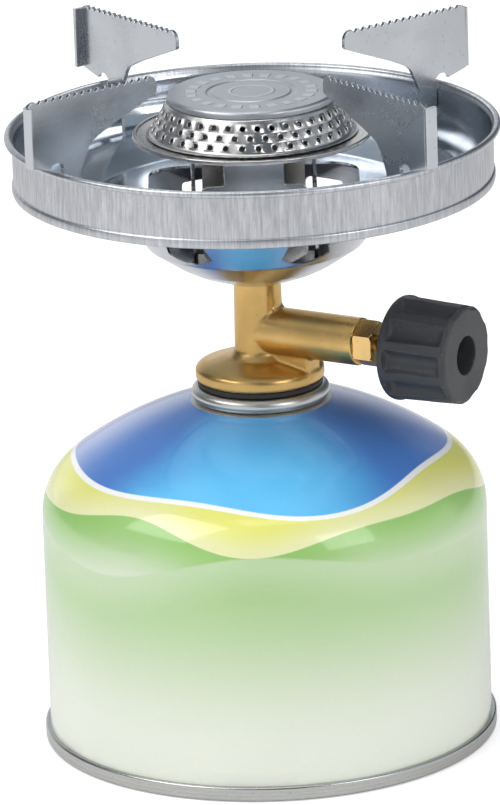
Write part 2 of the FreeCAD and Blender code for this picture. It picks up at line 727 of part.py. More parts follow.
def make_stem_stack():
    body = new_body("clamp_washer")
    washer_z = f"({STEM_TOP} + bowl_sheet)"
    revolve(body, sheet_ring("spigot_radius + slip_fit", "washer_radius", washer_z, CRADLE_Z))
    body = new_body("retaining_nut", height=f"{CRADLE_Z} + cradle_sheet")
    section = new_sketch(body, "NutSection", "XY_Plane")
    add_outline(section, hexagon_corners("nut_across_flats"))
    add_circle(section, "0", "0", "spigot_radius + slip_fit")
    pad(body, section, "nut_height", name="Nut")
    corner = "nut_across_flats / 2 / cos(30)"
    groove(body, [
        (f"{corner} + 0.5", "nut_height - 0.9"),
        (f"{corner} + 0.5", "nut_height + 0.1"),
        ("nut_across_flats / 2 - 0.2", "nut_height + 0.1")], name="Bevel")
    body = new_body("jet", height=SPIGOT_TOP)
    section = new_sketch(body, "HeadSection", "XY_Plane")
    add_outline(section, hexagon_corners("jet_across_flats"))
    pad(body, section, "jet_head_height", name="Head")
    nozzle = "jet_head_height + jet_nozzle_height"
    revolve(body, [
        ("0", "-jet_shank_length"),
        ("jet_shank_radius", "-jet_shank_length"),
        ("jet_shank_radius", "jet_head_height"),
        ("jet_shank_radius * 0.5", nozzle),
        ("0", nozzle)], name="Nozzle")
    groove(body, [
        ("0", "-jet_shank_length - 1"),
        ("gas_port_radius", "-jet_shank_length - 1"),
        ("gas_port_radius", "jet_head_height - 0.6"),
        ("jet_hole_radius", "jet_head_height"),
        ("jet_hole_radius", f"{nozzle} + 1"),
        ("0", f"{nozzle} + 1")], name="GasWay")


def make_air_bowl():
    body = new_body("air_bowl", turn="window_phase")
    outside = [
        ("spigot_radius + slip_fit", "0"),
        ("bowl_floor_radius", "0"),
        ("bowl_low_radius", "bowl_low_rise"),
        ("bowl_knee_radius", "bowl_knee_rise"),
        ("bowl_side_radius", "bowl_side_rise"),
        ("bowl_top_radius", f"{FLOOR_Z} - pan_sheet - bowl_sheet - {STEM_TOP}"),
        (BOWL_FLANGE_R, f"{FLOOR_Z} - pan_sheet - bowl_sheet - {STEM_TOP}")]
    slant = "bowl_sheet * 0.5"
    inside = [
        (BOWL_FLANGE_R, f"{FLOOR_Z} - pan_sheet - {STEM_TOP}"),
        (f"bowl_top_radius - {slant}", f"{FLOOR_Z} - pan_sheet - {STEM_TOP}"),
        (f"bowl_side_radius - {slant}", "bowl_side_rise + bowl_sheet"),
        (f"bowl_knee_radius - {slant}", "bowl_knee_rise + bowl_sheet"),
        (f"bowl_low_radius - {slant} / 2", "bowl_low_rise + bowl_sheet"),
        ("bowl_floor_radius", "bowl_sheet"),
        ("spigot_radius + slip_fit", "bowl_sheet")]
    revolve(body, [(r, f"{z} + {STEM_TOP}") for r, z in outside + inside])
    window = new_sketch(body, "WindowOutline", "YZ_Plane")
    low = f"({STEM_TOP} + window_lift)"
    half = "window_width / 2"
    add_outline(window, [
        (f"-{half}", f"{low} + window_height * 0.35", "window_width * 0.62", 1),
        (half, f"{low} + window_height * 0.35"),
        (f"{half} * 0.8", f"{low} + window_height"),
        (f"-{half} * 0.8", f"{low} + window_height")])
    cut = pocket(body, window, f"{BOWL_FLANGE_R} + 5", name="Window", reverse=True)
    polar_pattern(body, [cut], "Z_Axis", "window_count")


def make_pan():
    body = new_body("pan", turn="burner_turn")
    bead_r = f"({LIP_R} - lip_bead_radius)"
    bead_z = f"({LIP_Z} - lip_bead_radius)"
    wall_z = f"({LIP_Z} - wall_drop)"
    trough_r = "(wall_inner_radius - trough_radius)"
    trough_z = f"({LIP_Z} - wall_drop - trough_radius)"
    revolve(body, [
        ("opening_half_width * 0.7", f"{FLOOR_Z} - pan_sheet"),
        ("floor_flat_radius", f"{FLOOR_Z} - pan_sheet"),
        (trough_r, f"{trough_z} - pan_sheet", "trough_radius + pan_sheet", 1),
        ("wall_inner_radius + pan_sheet", wall_z),
        ("wall_inner_radius + pan_sheet", f"{LIP_Z} - rib_drop"),
        (RIB_R, f"{LIP_Z} - rib_drop"),
        (RIB_R, f"{LIP_Z} - band_drop - 0.3"),
        (BAND_R, f"{LIP_Z} - band_drop"),
        (BAND_R, bead_z),
        (bead_r, bead_z),
        (LIP_R, bead_z, "lip_bead_radius", 1),
        (bead_r, LIP_Z, "lip_bead_radius * 1.6", 1),
        ("wall_inner_radius", f"{LIP_Z} - 1.7 * lip_bead_radius"),
        ("wall_inner_radius", wall_z, "trough_radius", -1),
        (trough_r, trough_z),
        ("floor_flat_radius", FLOOR_Z),
        ("opening_half_width * 0.7", FLOOR_Z)])
    hole = new_sketch(body, "OpeningOutline", "XY_Plane", offset=f"{FLOOR_Z} - 3")
    edge = "opening_half_width"
    inset = "(opening_half_width - opening_corner_radius)"
    curve = "opening_corner_radius"
    add_outline(hole, [
        (edge, f"-{inset}"), (edge, inset, curve, 1),
        (inset, edge), (f"-{inset}", edge, curve, 1),
        (f"-{edge}", inset), (f"-{edge}", f"-{inset}", curve, 1),
        (f"-{inset}", f"-{edge}"), (inset, f"-{edge}", curve, 1)])
    pocket(body, hole, "6", name="Opening", reverse=True)
    slot = new_sketch(body, "SlotOutline", "XY_Plane", offset=f"{LIP_Z} - rib_drop - 4")
    start = f"({SUPPORT_STEM_R} - tab_slot_gap)"
    end = f"({SUPPORT_STEM_R} + support_tab_length + tab_slot_gap)"
    half = "(support_sheet / 2 + tab_slot_gap)"
    lead = "(support_turn - burner_turn)"
    add_outline(slot, [(f"{r} * cos{lead} - {side} * sin{lead}", f"{r} * sin{lead} + {side} * cos{lead}")
                       for r, side in ((start, f"(-{half})"), (end, f"(-{half})"), (end, half), (start, half))])
    cut = pocket(body, slot, "rib_drop + 4 - wall_drop", name="TabSlot", reverse=True)
    polar_pattern(body, [cut], "Z_Axis", "4", name="TabSlots")


def make_burner_cradle():
    body = new_body("burner_cradle", turn="burner_turn")
    plate = new_sketch(body, "PlateOutline", "XY_Plane", offset=CRADLE_Z)
    foot = "leg_foot / 2"
    reach = "leg_offset"
    add_outline(plate, [
        (reach, f"-{foot}"), (reach, foot), (foot, foot), (foot, reach), (f"-{foot}", reach), (f"-{foot}", foot),
        (f"-{reach}", foot), (f"-{reach}", f"-{foot}"), (f"-{foot}", f"-{foot}"), (f"-{foot}", f"-{reach}"),
        (foot, f"-{reach}"), (foot, f"-{foot}")])
    add_circle(plate, "0", "0", "spigot_radius + slip_fit")
    pad(body, plate, "cradle_sheet", name="FootPlate")
    leg = new_sketch(body, "LegOutline", "YZ_Plane", offset="leg_offset - cradle_sheet")
    wide_z = f"({STEM_TOP} + leg_wide_start)"
    shoulder_z = f"({LIP_Z} - leg_shoulder_drop)"
    top_z = f"({BRIM_Z} - brim_sheet)"
    add_outline(leg, [
        ("-leg_foot / 2", CRADLE_Z), ("leg_foot / 2", CRADLE_Z), ("leg_foot / 2", f"{wide_z} - 1.5"),
        ("leg_wide / 2", f"{wide_z} + 2.5"), ("leg_wide / 2", shoulder_z), ("leg_tongue / 2", shoulder_z),
        ("leg_tongue / 2", top_z), ("-leg_tongue / 2", top_z), ("-leg_tongue / 2", shoulder_z),
        ("-leg_wide / 2", shoulder_z), ("-leg_wide / 2", f"{wide_z} + 2.5"), ("-leg_foot / 2", f"{wide_z} - 1.5")])
    plate_leg = pad(body, leg, "cradle_sheet", name="Leg")
    polar_pattern(body, [plate_leg], "Z_Axis", "4")


# Burner head

def make_mixing_tube():
    body = new_body("mixing_tube")
    low = f"({JET_TOP} + jet_gap)"
    inner = "(tube_radius - tube_wall)"
    revolve(body, [
        ("tube_bell_radius - tube_wall", low),
        ("tube_bell_radius", low),
        ("tube_radius", f"{low} + tube_bell_height"),
        ("tube_radius", BRIM_Z),
        (inner, BRIM_Z),
        (inner, f"{low} + tube_bell_height")])


def add_flame_ports(blank, cone_height):
    """The burner's cone: the turned blank with three staggered rows of ports square to its surface."""
    doc.recompute()
    lean = math.atan2(value("cone_foot_radius - cone_top_radius"), value(cone_height))
    outward = FreeCAD.Vector(math.cos(lean), 0, math.sin(lean))
    count = round(value("port_count"))
    drills = []
    for row in range(3):
        rise = value(f"port_low_rise + {row} * port_row_step")
        reach = value("cone_foot_radius - head_sheet / 2") - (rise - 0.8) * math.tan(lean)
        centre = FreeCAD.Vector(reach, 0, value(BRIM_Z) + rise)
        start = centre - outward * value("head_sheet") * 2
        for step in range(count):
            drill = Part.makeCylinder(value("port_radius"), value("head_sheet") * 4, start, outward)
            drill.rotate(FreeCAD.Vector(), FreeCAD.Vector(0, 0, 1), (step + row % 2 / 2) * 360 / count)
            drills.append(drill)
    cone = doc.addObject("Part::Feature", "burner_cone")
    cone.Label = "burner_cone"
    cone.Shape = blank.Shape.cut(drills)
    subparts.append(cone)


def make_burner_head():
    under = f"({BRIM_Z} - brim_sheet)"
    body = new_body("burner_base")
    revolve(body, [
        ("tube_radius + slip_fit", under),
        ("brim_radius", under),
        ("brim_radius", f"{under} + brim_edge"),
        ("brim_radius - brim_sheet", f"{under} + brim_edge"),
        ("brim_radius - brim_sheet * 1.3", BRIM_Z),
        ("tube_radius + slip_fit", BRIM_Z)])
    body = doc.addObject("PartDesign::Body", "ConeBlank")
    crown_z = f"({CAP_Z} - head_sheet - cap_rounding)"
    revolve(body, [
        ("cone_foot_radius - head_sheet", BRIM_Z),
        ("cone_foot_radius + 0.8", BRIM_Z),
        ("cone_foot_radius", f"{BRIM_Z} + 0.8"),
        ("cone_top_radius", crown_z),
        ("cone_top_radius - head_sheet * 2", f"{CAP_Z} - head_sheet"),
        ("cone_top_radius - head_sheet * 3", f"{CAP_Z} - head_sheet"),
        ("cone_top_radius - head_sheet", f"{crown_z} - head_sheet")])
    add_flame_ports(body, f"({crown_z} - {BRIM_Z} - 0.8)")
    body = new_body("burner_cap")
    ring_in = "(cap_ring_radius - cap_ring_width / 2)"
    ring_out = "(cap_ring_radius + cap_ring_width / 2)"
    rim = "(cone_top_radius)"
    revolve(body, [
        ("0", f"{CAP_Z} - head_sheet"),
        (f"{rim} - cap_rounding", f"{CAP_Z} - head_sheet"),
        (rim, f"{CAP_Z} - cap_rounding", "cap_rounding", 1),
        (f"{rim} - cap_rounding", CAP_Z),
        (ring_out, CAP_Z),
        ("cap_ring_radius", f"{CAP_Z} - cap_ring_depth"),
        (ring_in, CAP_Z),
        ("0", CAP_Z)])


# Pot supports

def make_pot_support(number):
    body = new_body(f"pot_support_{number}", turn=f"support_turn + 90 * {number - 1}")
    stem_out = "(wall_inner_radius - support_stem_gap)"
    tip = "support_tip_radius"
    tip_z = f"({SUPPORT_TOP} - support_tip_height)"
    notch_r = f"({LIP_R} - lip_bead_radius)"
    foot_z = f"({LIP_Z} + support_foot_rise)"
    curve_z = f"({LIP_Z} + support_waist_rise - support_curve_radius)"
    blade = new_sketch(body, "BladeOutline", "XZ_Plane")
    add_outline(blade, [
        ("support_inner_reach + support_tip_radius", SUPPORT_TOP, tip, 1),
        ("support_inner_reach", f"{SUPPORT_TOP} - {tip}"),
        ("support_inner_reach", tip_z),
        ("support_waist_reach", f"{LIP_Z} + support_waist_rise", "support_curve_radius", -1),
        (SUPPORT_STEM_R, curve_z),
        (SUPPORT_STEM_R, f"{LIP_Z} - support_tab_drop"),
        (f"{SUPPORT_STEM_R} + support_tab_length", f"{LIP_Z} - support_tab_drop"),
        (f"{SUPPORT_STEM_R} + support_tab_length", f"{LIP_Z} - wall_drop"),
        (stem_out, f"{LIP_Z} - wall_drop"),
        (stem_out, foot_z),
        (f"{notch_r} - notch_radius * 0.6", f"{foot_z} + 0.5", "notch_radius", -1),
        (f"{notch_r} + notch_radius", foot_z),
        (SUPPORT_R, f"{foot_z} + support_foot_slope"),
        (SUPPORT_R, SUPPORT_TOP)])
    pad(body, blade, "support_sheet", name="Blade", both_sides=True)
    tooth = new_sketch(body, "ToothOutline", "XZ_Plane")
    first = f"({SUPPORT_R} - tooth_start)"
    add_outline(tooth, [
        (f"{first} - tooth_pitch * 0.8", f"{SUPPORT_TOP} + 0.5"),
        (f"{first} - tooth_pitch * 0.8", f"{SUPPORT_TOP} - tooth_depth * 0.3"),
        (f"{first} - tooth_pitch * 0.4", f"{SUPPORT_TOP} - tooth_depth"),
        (first, f"{SUPPORT_TOP} - tooth_depth * 0.3"),
        (first, f"{SUPPORT_TOP} + 0.5")])
    cut = pocket(body, tooth, "support_sheet * 3", name="Tooth", both_sides=True)
    row = linear_pattern(body, [cut], "X_Axis", "tooth_pitch * (tooth_count - 1)", "tooth_count")
    row.Reversed = True
    wing = new_sketch(body, "WingOutline", "YZ_Plane", offset=f"{SUPPORT_R} - support_sheet")
    add_outline(wing, box_corners("-support_sheet / 2", f"{foot_z} + wing_low_rise",
                                  "wing_width - support_sheet / 2", f"{SUPPORT_TOP} - wing_top_drop"))
    pad(body, wing, "support_sheet", name="Wing")


make_cartridge_shell()
make_cartridge_base()
make_valve_cup()
make_cartridge_valve()
make_poppet_spring()
make_base_gasket()
make_valve_body()
make_inlet()
make_spindle()
make_gland()
make_knob()
make_stem_stack()
make_air_bowl()
make_pan()
make_burner_cradle()
make_mixing_tube()
make_burner_head()
for number in range(1, 5):
    make_pot_support(number)
doc.recompute()

for item in doc.Objects:
    for state in ("Invalid", "Error"):
        if state in item.State:
            raise RuntimeError(f"{item.Label} is {state}")
for subpart in subparts:
    if subpart.Shape.isNull() or not subpart.Shape.isValid():
        raise RuntimeError(f"{subpart.Label} has no valid shape")

os.makedirs("parts", exist_ok=True)
for subpart in subparts:
    subpart.Shape.exportStep(f"parts/{subpart.Label}.step")
    print(subpart.Label, len(subpart.Shape.Solids), round(subpart.Shape.Volume, 2))
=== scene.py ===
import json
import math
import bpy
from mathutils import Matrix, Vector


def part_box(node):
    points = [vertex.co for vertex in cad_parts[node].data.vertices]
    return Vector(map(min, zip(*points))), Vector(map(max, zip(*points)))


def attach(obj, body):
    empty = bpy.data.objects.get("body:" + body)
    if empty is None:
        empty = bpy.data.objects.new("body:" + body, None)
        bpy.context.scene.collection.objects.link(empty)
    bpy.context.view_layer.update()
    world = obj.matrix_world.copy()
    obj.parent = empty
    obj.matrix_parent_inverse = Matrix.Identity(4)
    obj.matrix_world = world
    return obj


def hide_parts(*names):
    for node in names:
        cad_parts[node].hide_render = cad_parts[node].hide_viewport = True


bl_info = {
    "name": "Camping stove on a gas cartridge",
    "version": (1, 0, 0),
    "blender": (4, 5, 0),
    "location": "3D View > Sidebar > Stove",
    "description": "Builds the looks of a small camping stove round its packed parts",
    "category": "Object",
}

import bmesh
import bpy
from bpy.props import FloatProperty, FloatVectorProperty, IntProperty, PointerProperty
from mathutils import Matrix, Vector

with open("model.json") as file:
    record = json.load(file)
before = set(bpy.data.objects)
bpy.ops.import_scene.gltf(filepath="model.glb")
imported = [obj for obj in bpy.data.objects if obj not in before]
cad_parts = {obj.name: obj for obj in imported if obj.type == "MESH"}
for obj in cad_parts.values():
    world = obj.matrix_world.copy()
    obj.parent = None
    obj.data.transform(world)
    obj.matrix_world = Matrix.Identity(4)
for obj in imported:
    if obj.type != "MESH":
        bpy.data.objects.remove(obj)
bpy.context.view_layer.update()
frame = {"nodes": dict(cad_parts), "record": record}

MM = 0.001
FULL = 2 * math.pi


def start_of(node, axis="z"):
    """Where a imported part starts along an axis, in millimetres."""
    return getattr(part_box(node)[0], axis) / MM


def end_of(node, axis="z"):
    """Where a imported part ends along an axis, in millimetres."""
    return getattr(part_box(node)[1], axis) / MM


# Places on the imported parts, in millimetres, and the turns of the burner and the supports.
NECK_Z = end_of("cartridge_shell")
CUP_GAP = 0.05
CURL_TOP = start_of("base_gasket") - CUP_GAP
FLANGE_Z = end_of("base_gasket")
STEM_TOP = start_of("air_bowl")
BRASS_TOP = STEM_TOP + 8.4
LIP_Z = end_of("pan")
FLOOR_UNDER = start_of("pan")
BRIM_TOP = start_of("burner_cone")
CAP_TOP = end_of("burner_cap")
SUPPORT_TOP = end_of("pot_support_1")
KNOB_END = end_of("knob", "x")
ARM_Z = (start_of("knob") + end_of("knob")) / 2
CRADLE_Z = start_of("burner_cradle")
BURNER_TURN = math.radians(30)
SUPPORT_TURN = math.radians(67.5)

# Sizes that more than one piece uses, in millimetres.
ARM_REACH = 28.5
STEM_HOLE = 4.05
SPINDLE_RADIUS = 2.1
SPINDLE_BORE = 2.15


class StoveSizes(bpy.types.PropertyGroup):
    """Sizes of the pieces that a user may want to change."""
    can_radius: FloatProperty(
        name="Cartridge radius", description="Radius of the printed wall", default=54.0 * MM, unit="LENGTH")
    print_height: FloatProperty(
        name="Sky edge", description="Height of the wavy edge between the blue and the yellow of the print",
        default=69.6 * MM, unit="LENGTH")
    meadow_height: FloatProperty(
        name="Meadow edge", description="Height of the wavy edge between the yellow and the green",
        default=64.0 * MM, unit="LENGTH")
    voxel: FloatProperty(
        name="Forging detail", description="Size of the cells that the forged brass is blended from",
        default=0.28 * MM, unit="LENGTH")
    flutes: IntProperty(name="Knob flutes", description="Number of flutes round the knob", default=10, min=3)
    flute_depth: FloatProperty(
        name="Flute depth", description="How deep each flute goes", default=1.5 * MM, unit="LENGTH")
    ports: IntProperty(
        name="Flame ports", description="Flame ports in each of the three rows", default=38, min=6)
    port_radius: FloatProperty(
        name="Port radius", description="Radius of one flame port", default=0.65 * MM, unit="LENGTH")
    teeth: IntProperty(
        name="Teeth", description="Scallops along the top of each pot support", default=16, min=1)
    tooth_depth: FloatProperty(
        name="Tooth depth", description="Depth of each scallop", default=0.75 * MM, unit="LENGTH")
    windows: IntProperty(name="Air windows", description="Windows round the air bowl", default=6, min=2)


class StoveColours(bpy.types.PropertyGroup):
    """Colours of the pieces that a user may want to change."""
    sky: FloatVectorProperty(
        name="Sky", description="Blue of the print's dome", subtype="COLOR", default=(0.06, 0.20, 0.58))
    glow: FloatVectorProperty(
        name="Glow", description="Light blue in the dome's middle", subtype="COLOR",
        default=(0.12, 0.55, 0.92))
    haze: FloatVectorProperty(
        name="Haze", description="Lavender at the dome's sides", subtype="COLOR", default=(0.40, 0.46, 0.74))
    sun: FloatVectorProperty(
        name="Sun", description="Yellow of the print's band", subtype="COLOR", default=(0.76, 0.76, 0.16))
    leaf: FloatVectorProperty(
        name="Leaf", description="Green below the band", subtype="COLOR", default=(0.29, 0.54, 0.14))
    pale: FloatVectorProperty(
        name="Pale", description="Off-white under the green", subtype="COLOR", default=(0.80, 0.83, 0.73))
    brass: FloatVectorProperty(
        name="Brass", description="Colour of the forged brass", subtype="COLOR", default=(0.72, 0.47, 0.17))
    knob: FloatVectorProperty(
        name="Knob", description="Colour of the knob's plastic", subtype="COLOR",
        default=(0.040, 0.041, 0.045))


# Outlines

NEARLY_STRAIGHT = math.radians(86)
ARC_SHARE = 0.48


def turned(point, centre, sweep):
    """The point, turned about the centre."""
    arm = point - centre
    return centre + Vector((arm.x * math.cos(sweep) - arm.y * math.sin(sweep),
                            arm.x * math.sin(sweep) + arm.y * math.cos(sweep)))


def rounded(corners, step=0.3):
    """A closed outline from corners (x, y) or (x, y, radius), with arcs of that radius at the corners."""
    outline = []
    for index, corner in enumerate(corners):
        here = Vector(corner[:2])
        to_last = Vector(corners[index - 1][:2]) - here
        to_next = Vector(corners[(index + 1) % len(corners)][:2]) - here
        if len(corner) < 3 or to_last.angle(to_next) / 2 > NEARLY_STRAIGHT:
            outline.append(here)
            continue
        half = to_last.angle(to_next) / 2
        room = min(to_last.length, to_next.length) * ARC_SHARE
        reach = min(corner[2] / math.tan(half), room)
        to_last.normalize()
        to_next.normalize()
        centre = here + (to_last + to_next).normalized() * reach / math.cos(half)
        start = here + to_last * reach
        sweep = math.pi - 2 * half
        if to_last.x * to_next.y - to_last.y * to_next.x > 0:
            sweep = -sweep
        pieces = max(2, math.ceil(abs(sweep) / step))
        outline += [turned(start, centre, sweep * piece / pieces) for piece in range(pieces + 1)]
    return outline


def arc(centre, radius, start, end, pieces):
    """Points of an arc, from one angle in degrees to another."""
    angles = [math.radians(start + (end - start) * piece / pieces) for piece in range(pieces + 1)]
    return [(centre[0] + radius * math.cos(angle), centre[1] + radius * math.sin(angle)) for angle in angles]


def nut_side(low, high, corner, top, bottom, steps=24):
    """The side of a nut up to its corners' radius, cut by cones (radius at the end, slope) at both ends."""
    heights = [low + (high - low) * step / steps for step in range(steps + 1)]
    return [(min(corner, top[0] + (high - along) * top[1], bottom[0] + (along - low) * bottom[1]), along)
            for along in heights]


def hexagon(across):
    """A function that turns a radius into that of a hexagon where it is larger."""
    core = across * 0.42

    def shape(angle, radius, along):
        """The radius, no further out than the flat at that angle."""
        flat = across / 2 / math.cos((angle + math.pi / 6) % (math.pi / 3) - math.pi / 6)
        return min(radius, flat) if radius > core else radius
    return shape


# Meshes

ON_AXIS = 1e-6
WELD = 2e-7
NO_LENGTH = 1e-8


def lathe(bm, outline, segments, axis="Z", shape=None):
    """Adds a closed outline of (radius, along) in millimetres, turned about the upright axis or the arm's."""
    rows = []
    for segment in range(segments):
        angle = FULL * segment / segments
        row = []
        for radius, along in outline:
            reach = shape(angle, radius, along) if shape else radius
            across = (reach * math.cos(angle), reach * math.sin(angle))
            place = (*across, along) if axis == "Z" else (along, across[0], across[1] + ARM_Z)
            row.append(bm.verts.new(Vector(place) * MM))
        rows.append(row)
    for segment, row in enumerate(rows):
        after = rows[(segment + 1) % segments]
        for index in range(len(outline)):
            follow = (index + 1) % len(outline)
            if max(outline[index][0], outline[follow][0]) >= ON_AXIS:
                bm.faces.new((row[index], after[index], after[follow], row[follow]))


def slab(bm, outline, thickness, place):
    """Adds a plate with that outline in its own XY plane, centred on the plane, set by the matrix."""
    sides = []
    for side in (-0.5, 0.5):
        sides.append([bm.verts.new(place @ (Vector((x, y, side * thickness)) * MM)) for x, y in outline])
    bm.faces.new(sides[1])
    bm.faces.new(sides[0][::-1])
    for index in range(len(outline)):
        bm.faces.new((sides[0][index - 1], sides[0][index], sides[1][index], sides[1][index - 1]))


def facing_out(angle, reach):
    """An upright plane at that distance from the axis, which faces away from it."""
    return (Matrix.Rotation(angle, 4, "Z") @ Matrix.Translation((reach * MM, 0, 0))
            @ Matrix.Rotation(math.pi / 2, 4, "Z") @ Matrix.Rotation(math.pi / 2, 4, "X"))


def linked(name, bm):
    """An object of the mesh, in the scene."""
    mesh = bpy.data.meshes.new(name)
    bm.to_mesh(mesh)
    bm.free()
    made = bpy.data.objects.new(name, mesh)
    bpy.context.scene.collection.objects.link(made)
    return made


def finished(name, bm, body, slot, node, sharp=35.0, bevel=0.0):
    """The mesh as a piece that rides on a body and stands for that node."""
    bmesh.ops.remove_doubles(bm, verts=bm.verts, dist=WELD)
    bmesh.ops.dissolve_degenerate(bm, edges=bm.edges, dist=NO_LENGTH)
    bmesh.ops.recalc_face_normals(bm, faces=bm.faces)
    piece = linked(name, bm)
    piece.data.shade_smooth()
    piece.data.set_sharp_from_angle(angle=math.radians(sharp))
    if bevel:
        edge = piece.modifiers.new("Edges", "BEVEL")
        edge.width = bevel * MM
        edge.segments = 2
        edge.limit_method = "ANGLE"
        edge.angle_limit = math.radians(50)
        edge.harden_normals = False
    normals = piece.modifiers.new("Normals", "WEIGHTED_NORMAL")
    normals.keep_sharp = True
    piece.data.materials.append(material(slot))
    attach(piece, body)
    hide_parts(node)


def turned_piece(name, body, slot, node, outline, segments, axis="Z", shape=None, sharp=35.0):
    """A piece that is one outline, turned about an axis."""
    bm = bmesh.new()
    lathe(bm, outline, segments, axis, shape)
    finished(name, bm, body, slot, node, sharp)


def helper(bm):
    """A loose object of the mesh, for a modifier to work on."""
    bmesh.ops.remove_doubles(bm, verts=bm.verts, dist=WELD)
    bmesh.ops.recalc_face_normals(bm, faces=bm.faces)
    return linked("helper", bm)


def baked(blank):
    """The mesh of a helper object with its modifiers applied. The object goes."""
    depsgraph = bpy.context.evaluated_depsgraph_get()
    result = bmesh.new()
    result.from_mesh(bpy.data.meshes.new_from_object(blank.evaluated_get(depsgraph)))
    bpy.data.objects.remove(blank)
    return result


def cut_away(bm, cutter_bm):
    """The first mesh without the second one."""
    blank = helper(bm)
    cutter = helper(cutter_bm)
    cut = blank.modifiers.new("Cut", "BOOLEAN")
    cut.object = cutter
    cut.operation = "DIFFERENCE"
    cut.solver = "EXACT"
    result = baked(blank)
    bpy.data.objects.remove(cutter)
    return result


# Node trees

def add_node(tree, kind, inputs=None, **settings):
    """A node with its settings and inputs. An input is a value, or an output socket to join."""
    made = tree.nodes.new(kind)
    for key, setting in settings.items():
        setattr(made, key, setting)
    for key, given in (inputs or {}).items():
        if isinstance(given, bpy.types.NodeSocket):
            tree.links.new(given, made.inputs[key])
        else:
            made.inputs[key].default_value = given
    return made


def sum_up(tree, operation, first, second=0.0, third=0.0, clamp=False):
    """The output of one math node."""
    inputs = {0: first, 1: second, 2: third}
    return add_node(tree, "ShaderNodeMath", inputs, operation=operation, use_clamp=clamp).outputs[0]


def times(tree, factor, by, plus=None):
    """The factor times a value, and plus another one where that is given."""
    if plus is None:
        return sum_up(tree, "MULTIPLY", factor, by)
    return sum_up(tree, "MULTIPLY_ADD", factor, by, plus)


def spread(tree, factor, low, high, to_low=0.0, to_high=1.0, smooth=False):
    """The factor's range mapped to another one."""
    inputs = {"Value": factor, "From Min": low, "From Max": high, "To Min": to_low, "To Max": to_high}
    kind = "SMOOTHSTEP" if smooth else "LINEAR"
    return add_node(tree, "ShaderNodeMapRange", inputs, interpolation_type=kind).outputs["Result"]


def colour_mix(tree, factor, first, second, blend="MIX"):
    """Two colours mixed by the factor."""
    inputs = {0: factor, 6: first, 7: second}
    for key in (6, 7):
        if not isinstance(inputs[key], bpy.types.NodeSocket):
            inputs[key] = (*inputs[key], 1.0)
    return add_node(tree, "ShaderNodeMix", inputs, data_type="RGBA", blend_type=blend).outputs[2]


def object_place(tree):
    """The place on the object, in metres."""
    return add_node(tree, "ShaderNodeTexCoord").outputs["Object"]


def new_group(name, inputs, outputs):
    """An empty node group with float sockets, and its two ends."""
    group = bpy.data.node_groups.new(name, "ShaderNodeTree")
    for label, default in inputs.items():
        socket = group.interface.new_socket(label, in_out="INPUT", socket_type="NodeSocketFloat")
        socket.default_value = default
    for label in outputs:
        group.interface.new_socket(label, in_out="OUTPUT", socket_type="NodeSocketFloat")
    return group, group.nodes.new("NodeGroupInput"), group.nodes.new("NodeGroupOutput")


def hand_out(group, end, *outputs):
    """Joins what the group puts out, in the order of its outputs."""
    for index, output in enumerate(outputs):
        group.links.new(output, end.inputs[index])


def make_round_coords():
    """Angle about the upright axis, distance from it and height, in radians and millimetres."""
    group, _, end = new_group("Round coordinates", {}, ["Angle", "Radius", "Height"])
    place = object_place(group)
    split = add_node(group, "ShaderNodeSeparateXYZ", {0: place})
    angle = sum_up(group, "ARCTAN2", split.outputs[1], split.outputs[0])
    flat = add_node(group, "ShaderNodeVectorMath", {0: place, 1: (1 / MM, 1 / MM, 0.0)}, operation="MULTIPLY")
    length = add_node(group, "ShaderNodeVectorMath", {0: flat.outputs[0]}, operation="LENGTH")
    hand_out(group, end, angle, length.outputs["Value"], times(group, split.outputs[2], 1 / MM))
    return group


def make_grain():
    """Fine grain of a surface: a shade near one, a change of roughness and a height."""
    group, start, end = new_group(
        "Surface grain", {"Scale": 2000.0, "Amount": 0.1}, ["Shade", "Roughness", "Height"])
    broad_share = 0.04
    place = object_place(group)
    fine = add_node(group, "ShaderNodeTexNoise",
                    {"Vector": place, "Scale": start.outputs[0], "Detail": 5.0, "Roughness": 0.6})
    broad_scale = times(group, start.outputs[0], broad_share)
    broad = add_node(group, "ShaderNodeTexNoise", {"Vector": place, "Scale": broad_scale, "Detail": 4.0})
    both = sum_up(group, "ADD", fine.outputs[0], broad.outputs[0])
    swing = times(group, sum_up(group, "SUBTRACT", both, 1.0), start.outputs[1])
    hand_out(group, end, sum_up(group, "ADD", swing, 1.0), swing, fine.outputs[0])
    return group


def make_drawn_lines():
    """Lines that drawing or turning leaves: fine in one direction and long in the other."""
    group, start, end = new_group(
        "Drawn lines", {"Across": 0.0, "Along": 0.0, "Fineness": 10.0}, ["Shade", "Height"])
    long_share, layer = 0.12, 0.37
    across = times(group, start.outputs[0], start.outputs[2])
    along = times(group, start.outputs[1], long_share)
    place = add_node(group, "ShaderNodeCombineXYZ", {0: across, 1: along, 2: layer})
    lines = add_node(group, "ShaderNodeTexNoise",
                     {"Vector": place.outputs[0], "Scale": 1.0, "Detail": 6.0, "Roughness": 0.7})
    hand_out(group, end, spread(group, lines.outputs[0], 0.3, 0.7), lines.outputs[0])
    return group


